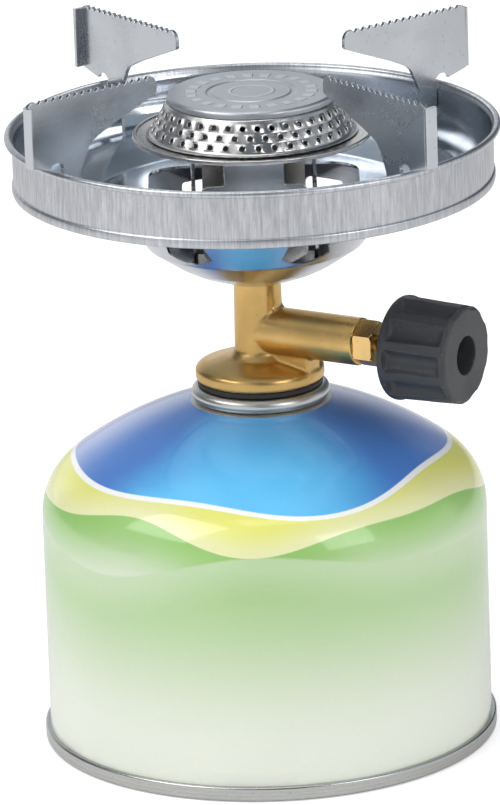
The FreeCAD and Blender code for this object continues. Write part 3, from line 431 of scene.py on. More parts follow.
def make_smudges():
    """Hands and storage: soft smudges, and a few scratches and specks."""
    group, start, end = new_group("Smudges", {"Scale": 40.0}, ["Smudge", "Scratch", "Speck"])
    bend = (0.003, 0.002, 0.004)
    place = object_place(group)
    soft = add_node(group, "ShaderNodeTexNoise",
                    {"Vector": place, "Scale": start.outputs[0], "Detail": 3.0, "Distortion": 0.8})
    smudge = spread(group, soft.outputs[0], 0.4, 0.68, smooth=True)
    bent = add_node(group, "ShaderNodeTexNoise", {"Vector": place, "Scale": 55.0, "Detail": 2.0})
    shift = add_node(group, "ShaderNodeVectorMath", {0: bent.outputs["Color"], 1: bend, 2: place},
                     operation="MULTIPLY_ADD")
    cracks = add_node(group, "ShaderNodeTexVoronoi", {"Vector": shift.outputs[0], "Scale": 70.0},
                      feature="DISTANCE_TO_EDGE")
    thin = spread(group, cracks.outputs[0], 0.0, 0.006, 0.4, 0.0)
    rare = spread(group, bent.outputs[0], 0.55, 0.62)
    dots = add_node(group, "ShaderNodeTexVoronoi", {"Vector": place, "Scale": 420.0}, feature="F1")
    speck = spread(group, dots.outputs["Distance"], 0.10, 0.16, 1.0, 0.0)
    hand_out(group, end, smudge, times(group, thin, rare), speck)
    return group


GROUPS = {"round": make_round_coords, "grain": make_grain, "lines": make_drawn_lines, "smudges": make_smudges}
made_groups = {}


def use_group(tree, name, inputs=None):
    """The outputs of a shared group, which is made the first time."""
    if name not in made_groups:
        made_groups[name] = GROUPS[name]()
    return add_node(tree, "ShaderNodeGroup", inputs, node_tree=made_groups[name]).outputs


# Materials

def dimmed(colour, share):
    """The colour at a share of its strength."""
    return tuple(part * share for part in colour)


def start_material(name, grain_scale, grain_amount, smudge_scale, **constants):
    """A material with one shader that has those constants, and its grain and smudges."""
    made = bpy.data.materials.new(name)
    made.use_nodes = True
    tree = made.node_tree
    shader = tree.nodes["Principled BSDF"]
    for label, constant in constants.items():
        shader.inputs[label.replace("_", " ")].default_value = constant
    grain = use_group(tree, "grain", {"Scale": grain_scale, "Amount": grain_amount})
    marks = use_group(tree, "smudges", {"Scale": smudge_scale})
    return made, tree, shader, grain, marks


def feed(shader, label, output):
    """Joins an output to one of the shader's inputs."""
    shader.id_data.links.new(output, shader.inputs[label])


def set_colour(shader, tone, grain, cover, covering):
    """Base colour: the tone shaded by the grain, with the covering colour where the cover is."""
    tree = shader.id_data
    lit = colour_mix(tree, 1.0, tone, grain["Shade"], "MULTIPLY")
    feed(shader, "Base Color", colour_mix(tree, cover, lit, covering))


def bump(shader, height, distance):
    """Joins a height to the shader's normal. The distance is in millimetres."""
    inputs = {"Height": height, "Distance": distance * MM, "Strength": 1.0}
    feed(shader, "Normal", add_node(shader.id_data, "ShaderNodeBump", inputs).outputs[0])


def plain_metal(name, colour, rough, scale=2500.0, amount=0.12, height=0.006, smudge=0.12, dark=0.75):
    """A metal with grain, smudges, hair scratches and specks."""
    made, tree, shader, grain, marks = start_material(name, scale, amount, 38.0, Metallic=1.0)
    shade = colour_mix(tree, marks["Smudge"], colour, dimmed(colour, dark))
    set_colour(shader, shade, grain, times(tree, marks["Speck"], 0.25), dimmed(colour, 0.35))
    soft = times(tree, marks["Smudge"], smudge, rough)
    worn = times(tree, marks["Scratch"], 0.05, soft)
    feed(shader, "Roughness", sum_up(tree, "ADD", worn, grain["Roughness"], clamp=True))
    bump(shader, grain["Height"], height)
    return made


def spun_metal(name, colour, rough, fineness, height=0.01, contrast=0.15):
    """A metal turned or spun about the upright axis, with lines round it."""
    made, tree, shader, grain, marks = start_material(name, 1800.0, 0.1, 30.0, Metallic=1.0, Anisotropic=0.45)
    place = use_group(tree, "round")
    across = sum_up(tree, "ADD", place["Radius"], place["Height"])
    lines = use_group(tree, "lines", {"Across": across, "Along": place["Angle"], "Fineness": fineness})
    lined = colour_mix(tree, lines["Shade"], dimmed(colour, 1 - contrast * 2), colour)
    set_colour(shader, lined, grain, times(tree, marks["Speck"], 0.2), dimmed(colour, 0.4))
    soft = times(tree, marks["Smudge"], 0.1, rough)
    lined_rough = times(tree, lines["Shade"], -contrast * 0.5, soft)
    worn = times(tree, marks["Scratch"], 0.06, lined_rough)
    feed(shader, "Roughness", sum_up(tree, "MAXIMUM", worn, 0.05))
    bump(shader, lines["Height"], height)
    feed(shader, "Tangent", add_node(tree, "ShaderNodeTangent", direction_type="RADIAL", axis="Z").outputs[0])
    return made


def plastic(name, colour, rough, scale=1500.0, height=0.02):
    """A moulded plastic or rubber with a fine texture, dust and scuffs."""
    made, tree, shader, grain, marks = start_material(name, scale, 0.16, 60.0, Metallic=0.0, IOR=1.5)
    dust = times(tree, marks["Scratch"], 0.12, times(tree, marks["Speck"], 0.10))
    set_colour(shader, colour, grain, dust, tuple(min(1.0, part + 0.25) for part in colour))
    soft = times(tree, marks["Smudge"], 0.12, rough)
    feed(shader, "Roughness", sum_up(tree, "ADD", soft, grain["Roughness"], clamp=True))
    bump(shader, grain["Height"], height)
    return made


def wave(tree, angle, middle, parts):
    """A height that waves round the axis: parts are (size, waves, phase)."""
    total = middle
    for size, waves, phase in parts:
        swing = sum_up(tree, "SINE", times(tree, angle, float(waves), phase))
        total = times(tree, swing, size, total)
    return total


def make_dome(tree, angle, height, cloud, colours):
    """Colour of the dome: light towards the front, deep blue beside that, and lavender at the sides."""
    front_angle = math.radians(62)
    front = sum_up(tree, "COSINE", sum_up(tree, "ADD", angle, front_angle))
    patch = times(tree, sum_up(tree, "SUBTRACT", cloud, 0.5), 0.5, front)
    dome = colour_mix(tree, spread(tree, patch, 0.62, 1.0, smooth=True), colours.sky, colours.glow)
    dome = colour_mix(tree, spread(tree, patch, 0.45, -0.35, 0.0, 0.85, True), dome, colours.haze)
    top = spread(tree, height, 74.0, 84.0, 0.0, 0.45, True)
    return colour_mix(tree, top, dome, dimmed(colours.sky, 0.75))


def make_print(colours, sizes):
    """Lacquer over generic bands of colour: a blue dome, a white line, a yellow band and a green fade."""
    made, tree, shader, grain, marks = start_material(
        "printed_steel", 900.0, 0.05, 22.0, Metallic=0.0, Coat_Roughness=0.07, Coat_IOR=1.5, IOR=1.5)
    white, tinplate = (0.9, 0.92, 0.9), (0.62, 0.61, 0.58)
    line_start, line_end, far_drop = 0.15, 0.8, 7.0
    bare_radius, seam_edge = 17.0, 3.6
    place = use_group(tree, "round")
    angle, height = place["Angle"], place["Height"]
    cloud_inputs = {"Vector": object_place(tree), "Scale": 26.0, "Detail": 3.0, "Distortion": 0.6}
    cloud = add_node(tree, "ShaderNodeTexNoise", cloud_inputs).outputs[0]
    dome = make_dome(tree, angle, height, cloud, colours)

    meadow_z = sizes.meadow_height / MM
    sky_edge = wave(tree, angle, sizes.print_height / MM, ((1.1, 3, 0.6), (0.7, 5, 2.0), (0.5, 2, 1.1)))
    meadow_edge = wave(tree, angle, meadow_z, ((2.6, 4, 2.6), (1.0, 7, 0.4)))
    far_edge = wave(tree, angle, meadow_z - far_drop, ((3.2, 3, 4.4), (1.2, 5, 1.3)))
    above_sky = sum_up(tree, "SUBTRACT", height, sky_edge)
    below_meadow = sum_up(tree, "SUBTRACT", meadow_edge, height)
    below_far = sum_up(tree, "SUBTRACT", far_edge, height)

    sunny_pale = tuple((a + b) / 2 for a, b in zip(colours.sun, colours.pale))
    band = colour_mix(tree, spread(tree, below_meadow, -7.0, 0.5, smooth=True), colours.sun, sunny_pale)
    field = colour_mix(tree, spread(tree, height, 54.0, 10.0, 0.12, 1.0, True), colours.leaf, colours.pale)
    near_fade = spread(tree, below_meadow, 0.0, 17.0, 0.0, 0.8, True)
    meadow = colour_mix(tree, near_fade, colours.leaf, colours.pale)
    lower = colour_mix(tree, spread(tree, below_far, 0.0, 12.0, 0.62, 1.0, True), colours.pale, field)
    meadow = colour_mix(tree, spread(tree, below_far, 0.0, 0.6, 0.0, 0.85), meadow, lower)
    whole = colour_mix(tree, spread(tree, below_meadow, 0.0, 0.2), band, meadow)
    whole = colour_mix(tree, spread(tree, above_sky, 0.0, line_start), whole, white)
    whole = colour_mix(tree, spread(tree, above_sky, line_end, line_end + 0.15), whole, dome)

    # Bare tinplate shows in a narrow edge above the print, and in a few scuffs near the seam.
    bare = spread(tree, place["Radius"], bare_radius + 0.1, bare_radius - 0.1)
    rubbed = spread(tree, marks["Smudge"], 0.5, 0.8, 0.0, 0.5)
    scuff = times(tree, spread(tree, height, 7.0, seam_edge), rubbed)
    scuff = sum_up(tree, "MAXIMUM", scuff, times(tree, marks["Scratch"], 0.25))
    set_colour(shader, whole, grain, sum_up(tree, "MAXIMUM", bare, scuff), tinplate)
    feed(shader, "Metallic", times(tree, bare, 0.9))
    feed(shader, "Coat Weight", times(tree, bare, -0.7, 0.75))
    feed(shader, "Roughness", times(tree, marks["Smudge"], 0.1, 0.34))
    bump(shader, times(tree, cloud, 6.0, grain["Height"]), 0.012)
    return made


def off_by(tree, factor, middle):
    """How far the factor is from a value."""
    return sum_up(tree, "ABSOLUTE", sum_up(tree, "SUBTRACT", factor, middle))


def make_cap_steel():
    """Matt stamped steel with a ring of short generic marks and a circle pressed into it."""
    made, tree, shader, grain, marks = start_material("cap_steel", 3000.0, 0.14, 60.0, Metallic=1.0)
    steel, pressed_steel = (0.56, 0.57, 0.60), (0.78, 0.79, 0.82)
    mark_count, mark_radius, circle_radius = 22, 14.6, 5.2
    place = use_group(tree, "round")
    turns = sum_up(tree, "FRACT", times(tree, place["Angle"], mark_count / FULL))
    wide = spread(tree, off_by(tree, turns, 0.5), 0.26, 0.32, 1.0, 0.0)
    bar = spread(tree, off_by(tree, place["Radius"], mark_radius), 1.2, 1.5, 1.0, 0.0)
    circle = spread(tree, off_by(tree, place["Radius"], circle_radius), 0.35, 0.6, 1.0, 0.0)
    pressed = sum_up(tree, "MAXIMUM", times(tree, wide, bar), circle)
    set_colour(shader, steel, grain, times(tree, pressed, 0.35), pressed_steel)
    soft = times(tree, marks["Smudge"], 0.1, 0.40)
    feed(shader, "Roughness", times(tree, pressed, -0.1, soft))
    bump(shader, times(tree, grain["Height"], 0.06, pressed), 0.16)
    return made


def make_zinc():
    """Bright zinc plate: clouded and glossy inside, with drawn lines up the outer band."""
    made, tree, shader, grain, marks = start_material("zinc_plate", 1600.0, 0.1, 28.0, Metallic=1.0)
    place = use_group(tree, "round")
    lines = use_group(tree, "lines", {"Across": place["Angle"], "Along": place["Height"], "Fineness": 90.0})
    outside = spread(tree, place["Radius"], 57.2, 57.45)
    inside = colour_mix(tree, marks["Smudge"], (0.66, 0.69, 0.73), (0.50, 0.54, 0.60))
    band = colour_mix(tree, lines["Shade"], (0.40, 0.41, 0.43), (0.68, 0.69, 0.71))
    both = colour_mix(tree, outside, inside, band)
    set_colour(shader, both, grain, times(tree, marks["Speck"], 0.2), (0.3, 0.3, 0.3))
    inner_rough = times(tree, marks["Smudge"], 0.12, 0.13)
    outer_rough = times(tree, lines["Shade"], -0.12, 0.42)
    mixed = add_node(tree, "ShaderNodeMix", {0: outside, 2: inner_rough, 3: outer_rough})
    feed(shader, "Roughness", times(tree, marks["Scratch"], 0.15, mixed.outputs[0]))
    lined = times(tree, lines["Height"], outside)
    bump(shader, times(tree, grain["Height"], 0.2, lined), 0.03)
    return made


def material(slot):
    """The material of a slot, made the first time that it is asked for."""
    found = bpy.data.materials.get(slot + "_look")
    if found:
        return found
    colours = bpy.context.scene.stove_colours
    sizes = bpy.context.scene.stove_sizes
    brass = tuple(colours.brass)
    light_brass = tuple(min(1.0, part * 1.12 + 0.04) for part in brass)
    makers = {
        "printed_steel": lambda: make_print(colours, sizes),
        "tinplate": lambda: spun_metal(slot, (0.60, 0.60, 0.58), 0.30, 3.0),
        "cup_steel": lambda: spun_metal(slot, (0.76, 0.75, 0.71), 0.36, 6.0),
        "brass": lambda: plain_metal(slot, brass, 0.27, 1500.0, 0.10, 0.03, dark=0.82),
        "turned_brass": lambda: plain_metal(slot, light_brass, 0.18, 2600.0, 0.10, 0.008, 0.08, 0.85),
        "zinc_plate": make_zinc,
        "bowl_steel": lambda: spun_metal(slot, (0.66, 0.67, 0.69), 0.20, 4.0, 0.006, 0.08),
        "stainless": lambda: spun_metal(slot, (0.66, 0.64, 0.62), 0.24, 5.0, contrast=0.1),
        "cap_steel": make_cap_steel,
        "support_steel": lambda: plain_metal(
            slot, (0.60, 0.62, 0.64), 0.20, 2200.0, 0.10, smudge=0.10, dark=0.90),
        "black_rubber": lambda: plastic(slot, (0.022, 0.021, 0.020), 0.55, 1800.0, 0.03),
        "knob_plastic": lambda: plastic(slot, tuple(colours.knob), 0.42, 2400.0, 0.03),
        "white_plastic": lambda: plastic(slot, (0.72, 0.72, 0.69), 0.40),
        "spring_steel": lambda: plain_metal(slot, (0.5, 0.5, 0.5), 0.3),
        "sintered_bronze": lambda: plain_metal(slot, (0.42, 0.29, 0.14), 0.55, 5000.0, 0.3, 0.06),
    }
    made = makers[slot]()
    made.name = slot + "_look"
    return made


# Cartridge

def build_shell(can):
    """The printed wall, its shoulder and the domed crown up to the neck's hole."""
    sheet, foot, hole, land = 0.4, 3.5, 13.0, 15.6
    bend, bend_z, meet = 15.8, 56.4, 53.8
    crown = 94
    middle = (can - bend, bend_z)
    shoulder = arc(middle, bend, 0, meet, 16)
    inner_shoulder = arc(middle, bend - sheet, meet, 0, 12)
    turn = math.radians(meet)
    centre = (shoulder[-1][0] - crown * math.cos(turn), shoulder[-1][1] - crown * math.sin(turn))
    land_angle = math.degrees(math.acos((land - centre[0]) / crown))
    hole_angle = math.degrees(math.acos((hole - centre[0]) / (crown - sheet)))
    dome = arc(centre, crown, meet, land_angle, 18)
    inner_dome = arc(centre, crown - sheet, hole_angle, meet, 12)
    wall = [(can, foot), (can, 4.2), (can, 20), (can, 40)]
    neck = [(hole, NECK_Z), (hole, inner_dome[0][1])]
    outline = wall + shoulder + dome[1:] + neck + inner_dome[1:] + inner_shoulder[1:] + [(can - sheet, foot)]
    turned_piece("printed_shell", "cartridge", "printed_steel", "cartridge_shell", outline, 256, sharp=40)


def build_seam(can):
    """The double seam that the object stands on, and the hollow panel inside it."""
    inner, outer, height, wall_gap = 52.6, can + 1.2, 3.5, 0.02
    panel_z, panel_rise, sheet = 2.7, 6, 0.4
    radius = (inner ** 2 + panel_rise ** 2) / (2 * panel_rise)
    half = math.degrees(math.asin(inner / radius))
    under = arc((0, panel_z + panel_rise - radius), radius, 90 - half, 90, 12)
    over = arc((0, panel_z - sheet + panel_rise - radius), radius, 90, 90 - half, 12)
    seam = rounded([(inner, 0.0, 0.7), (outer, 0.0, 0.7), (outer, height / 2), (outer, height, 0.9),
                    (can + wall_gap, height), (inner, height)], 0.2)
    turned_piece("bottom_seam", "cartridge", "tinplate", "cartridge_base", seam + under + over, 256, sharp=40)


def build_neck():
    """The cup rolled over the neck, with the threaded neck in its middle, and the ring that seals on it."""
    curl_radius, well_radius, sheet = 1.8, 12.4, 0.5
    bore, hole, mouth = 4.2, 2.6, 0.7
    crest, root, pitch, turns = 5.555, 5.105, 0.907, 6
    well = CURL_TOP - 5.2
    neck_top = CURL_TOP + 3
    curl = arc((14.94, NECK_Z + curl_radius), curl_radius, -90, 90, 14)
    thread = []
    for turn in range(turns):
        middle = neck_top - 0.6 - pitch * (turns - 1 - turn)
        thread += [(crest, middle - 0.2), (crest, middle + 0.05),
                   (root, middle + 0.26), (root, middle + 0.45)]
    outline = ([(bore, well - sheet), (well_radius + sheet, well - sheet),
                (well_radius + sheet, NECK_Z)] + curl
               + arc((well_radius + 1.1, CURL_TOP - 1.1), 1.1, 90, 180, 6) + [(well_radius, well + 0.6)]
               + arc((well_radius - 0.6, well + 0.6), 0.6, 0, -90, 4) + [(crest, well)] + thread
               + [(crest, neck_top - 0.3), (crest - 0.3, neck_top), (hole, neck_top),
                  (hole, neck_top - mouth), (bore, neck_top - mouth)])
    turned_piece("neck_cup", "cartridge", "cup_steel", "valve_cup", outline, 160, sharp=45)

    low, high, inner, outer = CURL_TOP + CUP_GAP, FLANGE_Z, 12.6, 15.2
    ring = rounded([(inner, low, 0.2), (outer, low, 0.45), (outer, high, 0.45), (inner, high, 0.2)])
    turned_piece("sealing_ring", "gasket_ring", "black_rubber", "base_gasket", ring, 128)


# Brass and knob

def build_brass(sizes):
    """One forging: flange, stem, arm and web, blended where they meet."""
    arm_radius, web_width, fillet_width = 5.8, 6.2, 4.6
    flange, boss, stem = 15.6, 8.6, 5.7
    flange_top = FLANGE_Z + 3.81
    bm = bmesh.new()
    lathe(bm, rounded([
        (0, CURL_TOP - 4.0), (boss, CURL_TOP - 4.0, 0.3), (boss, FLANGE_Z), (flange, FLANGE_Z, 0.6),
        (flange, FLANGE_Z + 3.0, 1.5), (14.0, flange_top, 1.2), (7.35, flange_top + 1.5, 1.5),
        (5.95, flange_top + 3.2, 1.5), (stem, STEM_TOP, 0.3), (4.0, STEM_TOP), (4.0, BRASS_TOP, 0.3),
        (0, BRASS_TOP)]), 128)
    arm = rounded([(0, 0.0), (arm_radius, 0.0), (arm_radius, 26.6), (5.7, ARM_REACH, 0.5), (0, ARM_REACH)])
    lathe(bm, arm, 96, "X")
    upright = Matrix.Rotation(math.pi / 2, 4, "X")
    web = rounded([(0, FLANGE_Z + 1.5), (14.9, FLANGE_Z + 1.5, 0.3), (14.9, ARM_Z), (0, ARM_Z)])
    slab(bm, web, web_width, upright)
    fillet = rounded([(0, ARM_Z - 4), (9.5, ARM_Z - 4), (5.5, ARM_Z + 7.5, 5.0), (0, ARM_Z + 8.5)])
    slab(bm, fillet, fillet_width, upright)
    blank = helper(bm)
    joined = blank.modifiers.new("Join", "REMESH")
    joined.mode = "VOXEL"
    joined.voxel_size = sizes.voxel * 1.0
    eased = blank.modifiers.new("Ease", "SMOOTH")
    eased.factor = 0.5
    eased.iterations = 9

    neck_bore, neck_end = 5.6, CURL_TOP + 4.9
    gas_bore, gas_end = 2.5, CURL_TOP + 9.0
    bore = bmesh.new()
    lathe(bore, [(0, CURL_TOP - 6), (neck_bore, CURL_TOP - 6), (neck_bore, neck_end), (gas_bore, neck_end),
                 (gas_bore, gas_end), (0, gas_end)], 96)
    solid = cut_away(baked(blank), bore)
    arm_end = rounded([(4.1, 25.0), (5.78, 25.0), (arm_radius, 28.45, 0.55), (4.1, 28.45)], 0.25)
    lathe(solid, arm_end, 96, "X")
    finished("brass_body", solid, "stove", "brass", "valve_body", sharp=55)


def build_spindle():
    """The gland nut and the spindle, about the axis of the arm."""
    nut_end, nut_flats, mouth = 33.4, 10.0, 0.3
    side = nut_side(ARM_REACH, nut_end, 5.77, (5.3, 1.2), (5.5, 2.5))
    outline = ([(SPINDLE_BORE, 23), (3.95, 23), (3.95, ARM_REACH)] + side
               + [(3.1, nut_end), (2.9, nut_end - mouth), (SPINDLE_BORE, nut_end - mouth)])
    turned_piece("gland_hexagon", "stove", "turned_brass", "gland_nut", outline, 192, "X",
                 hexagon(nut_flats), sharp=25)

    tip, end, groove, screw_hole, screw_end = 4.05, 50.15, 1.61, 1.3, 44.6
    outline = rounded([
        (0, tip), (0.35, tip, 0.1), (SPINDLE_RADIUS, 6.65), (SPINDLE_RADIUS, 11.75), (groove, 11.75),
        (groove, 13.45), (SPINDLE_RADIUS, 13.45), (SPINDLE_RADIUS, 37.2, 0.1), (SPINDLE_RADIUS, end, 0.15),
        (screw_hole, end), (screw_hole, screw_end), (0, screw_end)])
    turned_piece("turned_spindle", "knob_set", "turned_brass", "spindle", outline, 64, "X")


def build_knob(sizes):
    """The knob, with flutes that run out at both ends."""
    back, front, hub = 38.6, KNOB_END, 2
    back_radius, front_radius = 12.7, 12.0
    hollow_radius, hollow_depth = 4.65, 6.5
    rim, run_out, front_share = 1.9, 1.5, 0.35
    flute_radius = 3.1
    flute_centre = front_radius - sizes.flute_depth / MM + flute_radius
    pitch = FULL / sizes.flutes

    def round_over(share):
        """A quarter circle from nothing at 0 to one at 1."""
        return math.sqrt(max(0.0, 1 - (1 - min(1.0, max(0.0, share))) ** 2))

    def fluted(angle, radius, along):
        """The radius, less the flute that passes there."""
        if radius < 10.5 or along < back + rim - 0.1:
            return radius
        off = (angle + pitch / 2) % pitch - pitch / 2
        inside = flute_radius ** 2 - (flute_centre * math.sin(off)) ** 2
        if inside <= 0:
            return radius
        hollow = flute_centre * math.cos(off) - math.sqrt(inside)
        at_back = round_over((along - back - rim) / run_out)
        at_front = front_share + (1 - front_share) * round_over((front - 1.6 - along) / run_out)
        return radius - max(0.0, radius - hollow) * at_back * at_front

    wall = rounded([
        (3.6, back), (back_radius, back, 1.3), (front_radius, front, 1.4), (hollow_radius, front, 0.35),
        (hollow_radius, front - hollow_depth, 0.3), (SPINDLE_BORE, front - hollow_depth),
        (SPINDLE_BORE, back - hub), (3.6, back - hub, 0.3)], 0.12)
    dense = []
    for index, point in enumerate(wall):
        after = wall[(index + 1) % len(wall)]
        dense.append(point)
        if min(point.x, after.x) > 10 and abs(after.y - point.y) > 5:
            dense += [point.lerp(after, step / 60) for step in range(1, 60)]
    turned_piece("fluted_knob", "knob_set", "knob_plastic", "knob", dense, 32 * sizes.flutes, "X",
                 fluted, sharp=50)


# Pan and bowl

PAN_OPENING = 25.5
OPENING_CORNER = 8.0
OPENING_EDGE = 38.0


def opening_reach(angle):
    """Distance from the axis to the pan's opening, a square with rounded corners."""
    straight = PAN_OPENING - OPENING_CORNER
    local = (angle - BURNER_TURN + math.pi / 4) % (math.pi / 2) - math.pi / 4
    if PAN_OPENING * math.tan(abs(local)) <= straight:
        return PAN_OPENING / math.cos(local)
    middle = straight * math.sqrt(2)
    off = math.pi / 4 - abs(local)
    return middle * math.cos(off) + math.sqrt(OPENING_CORNER ** 2 - (middle * math.sin(off)) ** 2)


def build_pan():
    """The pan: floor, trough, rolled lip and outer band."""
    sheet, wall_in, band, bend = 0.6, 56.9, 57.7, 6.5
    skirt_end = LIP_Z - 14.3
    trough = (wall_in - bend, LIP_Z - bend)
    floor = FLOOR_UNDER + sheet
    flat = [(PAN_OPENING, floor), (27.0, floor), (31.0, floor), (35.0, floor), (37.2, floor)]
    rise = flat + [(OPENING_EDGE, floor + 0.05), (38.8, floor + 0.22), (44.0, floor + 1.85)]
    inside = rise + arc(trough, bend, -97, 0, 20) + [(wall_in, LIP_Z - 2.2)]
    bead = arc((58.6, LIP_Z - 0.9), 0.85, 178, -95, 18)
    over = [(57.75, LIP_Z - 1.2)] + bead[1:]
    drops = [(57.72, 1.9), (band, 2.6), (band, 7.0), (band, 11.3), (57.55, 11.6), (57.52, 11.9),
             (57.75, 12.05), (58.0, 12.4), (58.0, 13.7), (57.85, 14.1)]
    skirt = [(radius, LIP_Z - drop) for radius, drop in drops] + [(57.5, skirt_end)]
    under = [(56.3, skirt_end), (56.3, LIP_Z - 13.6), (56.95, LIP_Z - 11.0)]
    back = arc(trough, bend + sheet, -20, -97, 14) + [
        (44.0, floor + 1.25), (38.8, floor - 0.38), (OPENING_EDGE, floor - 0.55), (37.2, floor - sheet),
        (31.0, floor - sheet), (PAN_OPENING, floor - sheet)]

    def opened(angle, radius, along):
        """The radius, with the floor's inner edge drawn out to the opening."""
        if radius >= OPENING_EDGE:
            return radius
        inner = opening_reach(angle)
        return inner + (OPENING_EDGE - inner) * (radius - PAN_OPENING) / (OPENING_EDGE - PAN_OPENING)

    outline = inside + over + skirt + under + back
    turned_piece("zinc_pan", "stove", "zinc_plate", "pan", outline, 288, shape=opened, sharp=48)


def build_bowl(sizes):
    """The bowl under the pan, with its air windows."""
    base, top = STEM_TOP, FLOOR_UNDER
    sheet, rim = 0.7, 37.5
    under = [(STEM_HOLE, base), (8.0, base, 2.0), (15.9, base + 3.0, 3.0), (19.3, base + 4.8, 4.0),
             (26.2, base + 9.4, 3.0), (33.5, top - sheet, 1.2), (rim, top - sheet, 0.2)]
    over = [(rim, top, 0.2), (33.15, top, 1.0), (25.85, base + 10.1, 3.0), (18.95, base + 5.5, 4.0),
            (15.7, base + 3.7, 3.0), (8.0, base + sheet, 2.0), (STEM_HOLE, base + sheet)]
    bm = bmesh.new()
    lathe(bm, rounded(under + over, 0.12), 240)

    half, edge, top_share = 6.3, base + 9.6, 0.85
    first_turn, reach, depth = math.radians(25), 29, 20.0
    spans = [2 * step / 12 - 1 for step in range(13)]
    bottom = [(half * span, edge + 0.6 + 1.9 * span ** 2) for span in spans]
    upper = [(half * top_share, edge + 7.6, 1.2), (-half * top_share, edge + 7.6, 1.2)]
    cutter = bmesh.new()
    for number in range(sizes.windows):
        angle = first_turn + FULL * number / sizes.windows
        slab(cutter, rounded(bottom + upper), depth, facing_out(angle, reach))
    finished("air_bowl_shell", cut_away(bm, cutter), "stove", "bowl_steel", "air_bowl", sharp=38, bevel=0.15)


# Burner

def build_cradle():
    """The four legs on their cross, and what holds them on the stem: washer and nut."""
    half, arm, sheet, leg_reach = 5.0, 14.1, 0.9, 14.55
    cross = rounded([
        (arm, -half), (arm, half), (half, half, 1.0), (half, arm), (-half, arm), (-half, half, 1.0),
        (-arm, half), (-arm, -half), (-half, -half, 1.0), (-half, -arm), (half, -arm), (half, -half, 1.0)])
    bm = bmesh.new()
    flat = Matrix.Rotation(BURNER_TURN, 4, "Z") @ Matrix.Translation((0, 0, (CRADLE_Z + sheet / 2) * MM))
    slab(bm, cross, sheet, flat)
    wide_half, tab_half = 12.5, 7.15
    foot, wide = CRADLE_Z + 0.1, STEM_TOP + 7.4
    shoulder, top = LIP_Z - 11.0, BRIM_TOP - 0.8
    right = [(half, foot), (half, wide - 1.5, 2.0), (wide_half, wide + 2.5, 1.5), (wide_half, shoulder, 1.2),
             (tab_half, shoulder, 0.8), (tab_half, top)]
    left = [(-corner[0], *corner[1:]) for corner in reversed(right[1:])]
    leg = rounded([(-half, foot)] + right + left)
    for number in range(4):
        slab(bm, leg, sheet, facing_out(BURNER_TURN + FULL * number / 4, leg_reach))
    finished("burner_legs", bm, "stove", "stainless", "burner_cradle", bevel=0.14)

    low, high, outer = STEM_TOP + 0.72, CRADLE_Z - 0.02, 7.2
    washer = rounded([(STEM_HOLE, low, 0.2), (outer, low, 0.2), (outer, high, 0.2), (STEM_HOLE, high, 0.2)])
    turned_piece("flat_washer", "stove", "stainless", "clamp_washer", washer, 96)

    low, high, flats, mouth = CRADLE_Z + 0.92, CRADLE_Z + 4.1, 12.0, 0.3
    side = nut_side(low, high, 6.93, (6.3, 1.3), (6.5, 2))
    outline = [(STEM_HOLE, low)] + side + [(4.4, high), (STEM_HOLE, high - mouth)]
    turned_piece("stem_nut", "stove", "turned_brass", "retaining_nut", outline, 192,
                 shape=hexagon(flats), sharp=25)


def build_tubes():
    """The jet on the brass stem, and the flared tube that takes its gas up."""
    low, head, tip, flats = BRASS_TOP, 2.6, 4.2, 6.0
    shank, gas_bore, orifice = 2.4, 0.9, 0.3
    corner = 3.46
    side = nut_side(low, low + head, corner, (3.1, 1.2), (corner, 0.0), 13)
    outline = ([(gas_bore, low - 4), (shank, low - 4), (shank, low)] + side
               + [(shank, low + head), (1.2, low + tip), (orifice, low + tip), (orifice, low + head),
                  (gas_bore, low + 2.0)])
    turned_piece("gas_jet", "stove", "turned_brass", "jet", outline, 120, shape=hexagon(flats), sharp=25)

    gap, throat, bore = 1.5, 6.4, 5.8
    low = BRASS_TOP + tip + gap
    outline = [(7.6, low), (8.2, low), (7.3, low + 1.1), (6.7, low + 2.1), (throat, low + 3.2),
               (throat, BRIM_TOP), (bore, BRIM_TOP), (bore, low + 3.2), (6.1, low + 2.1), (6.8, low + 0.9)]
    turned_piece("flared_tube", "stove", "stainless", "mixing_tube", outline, 96)


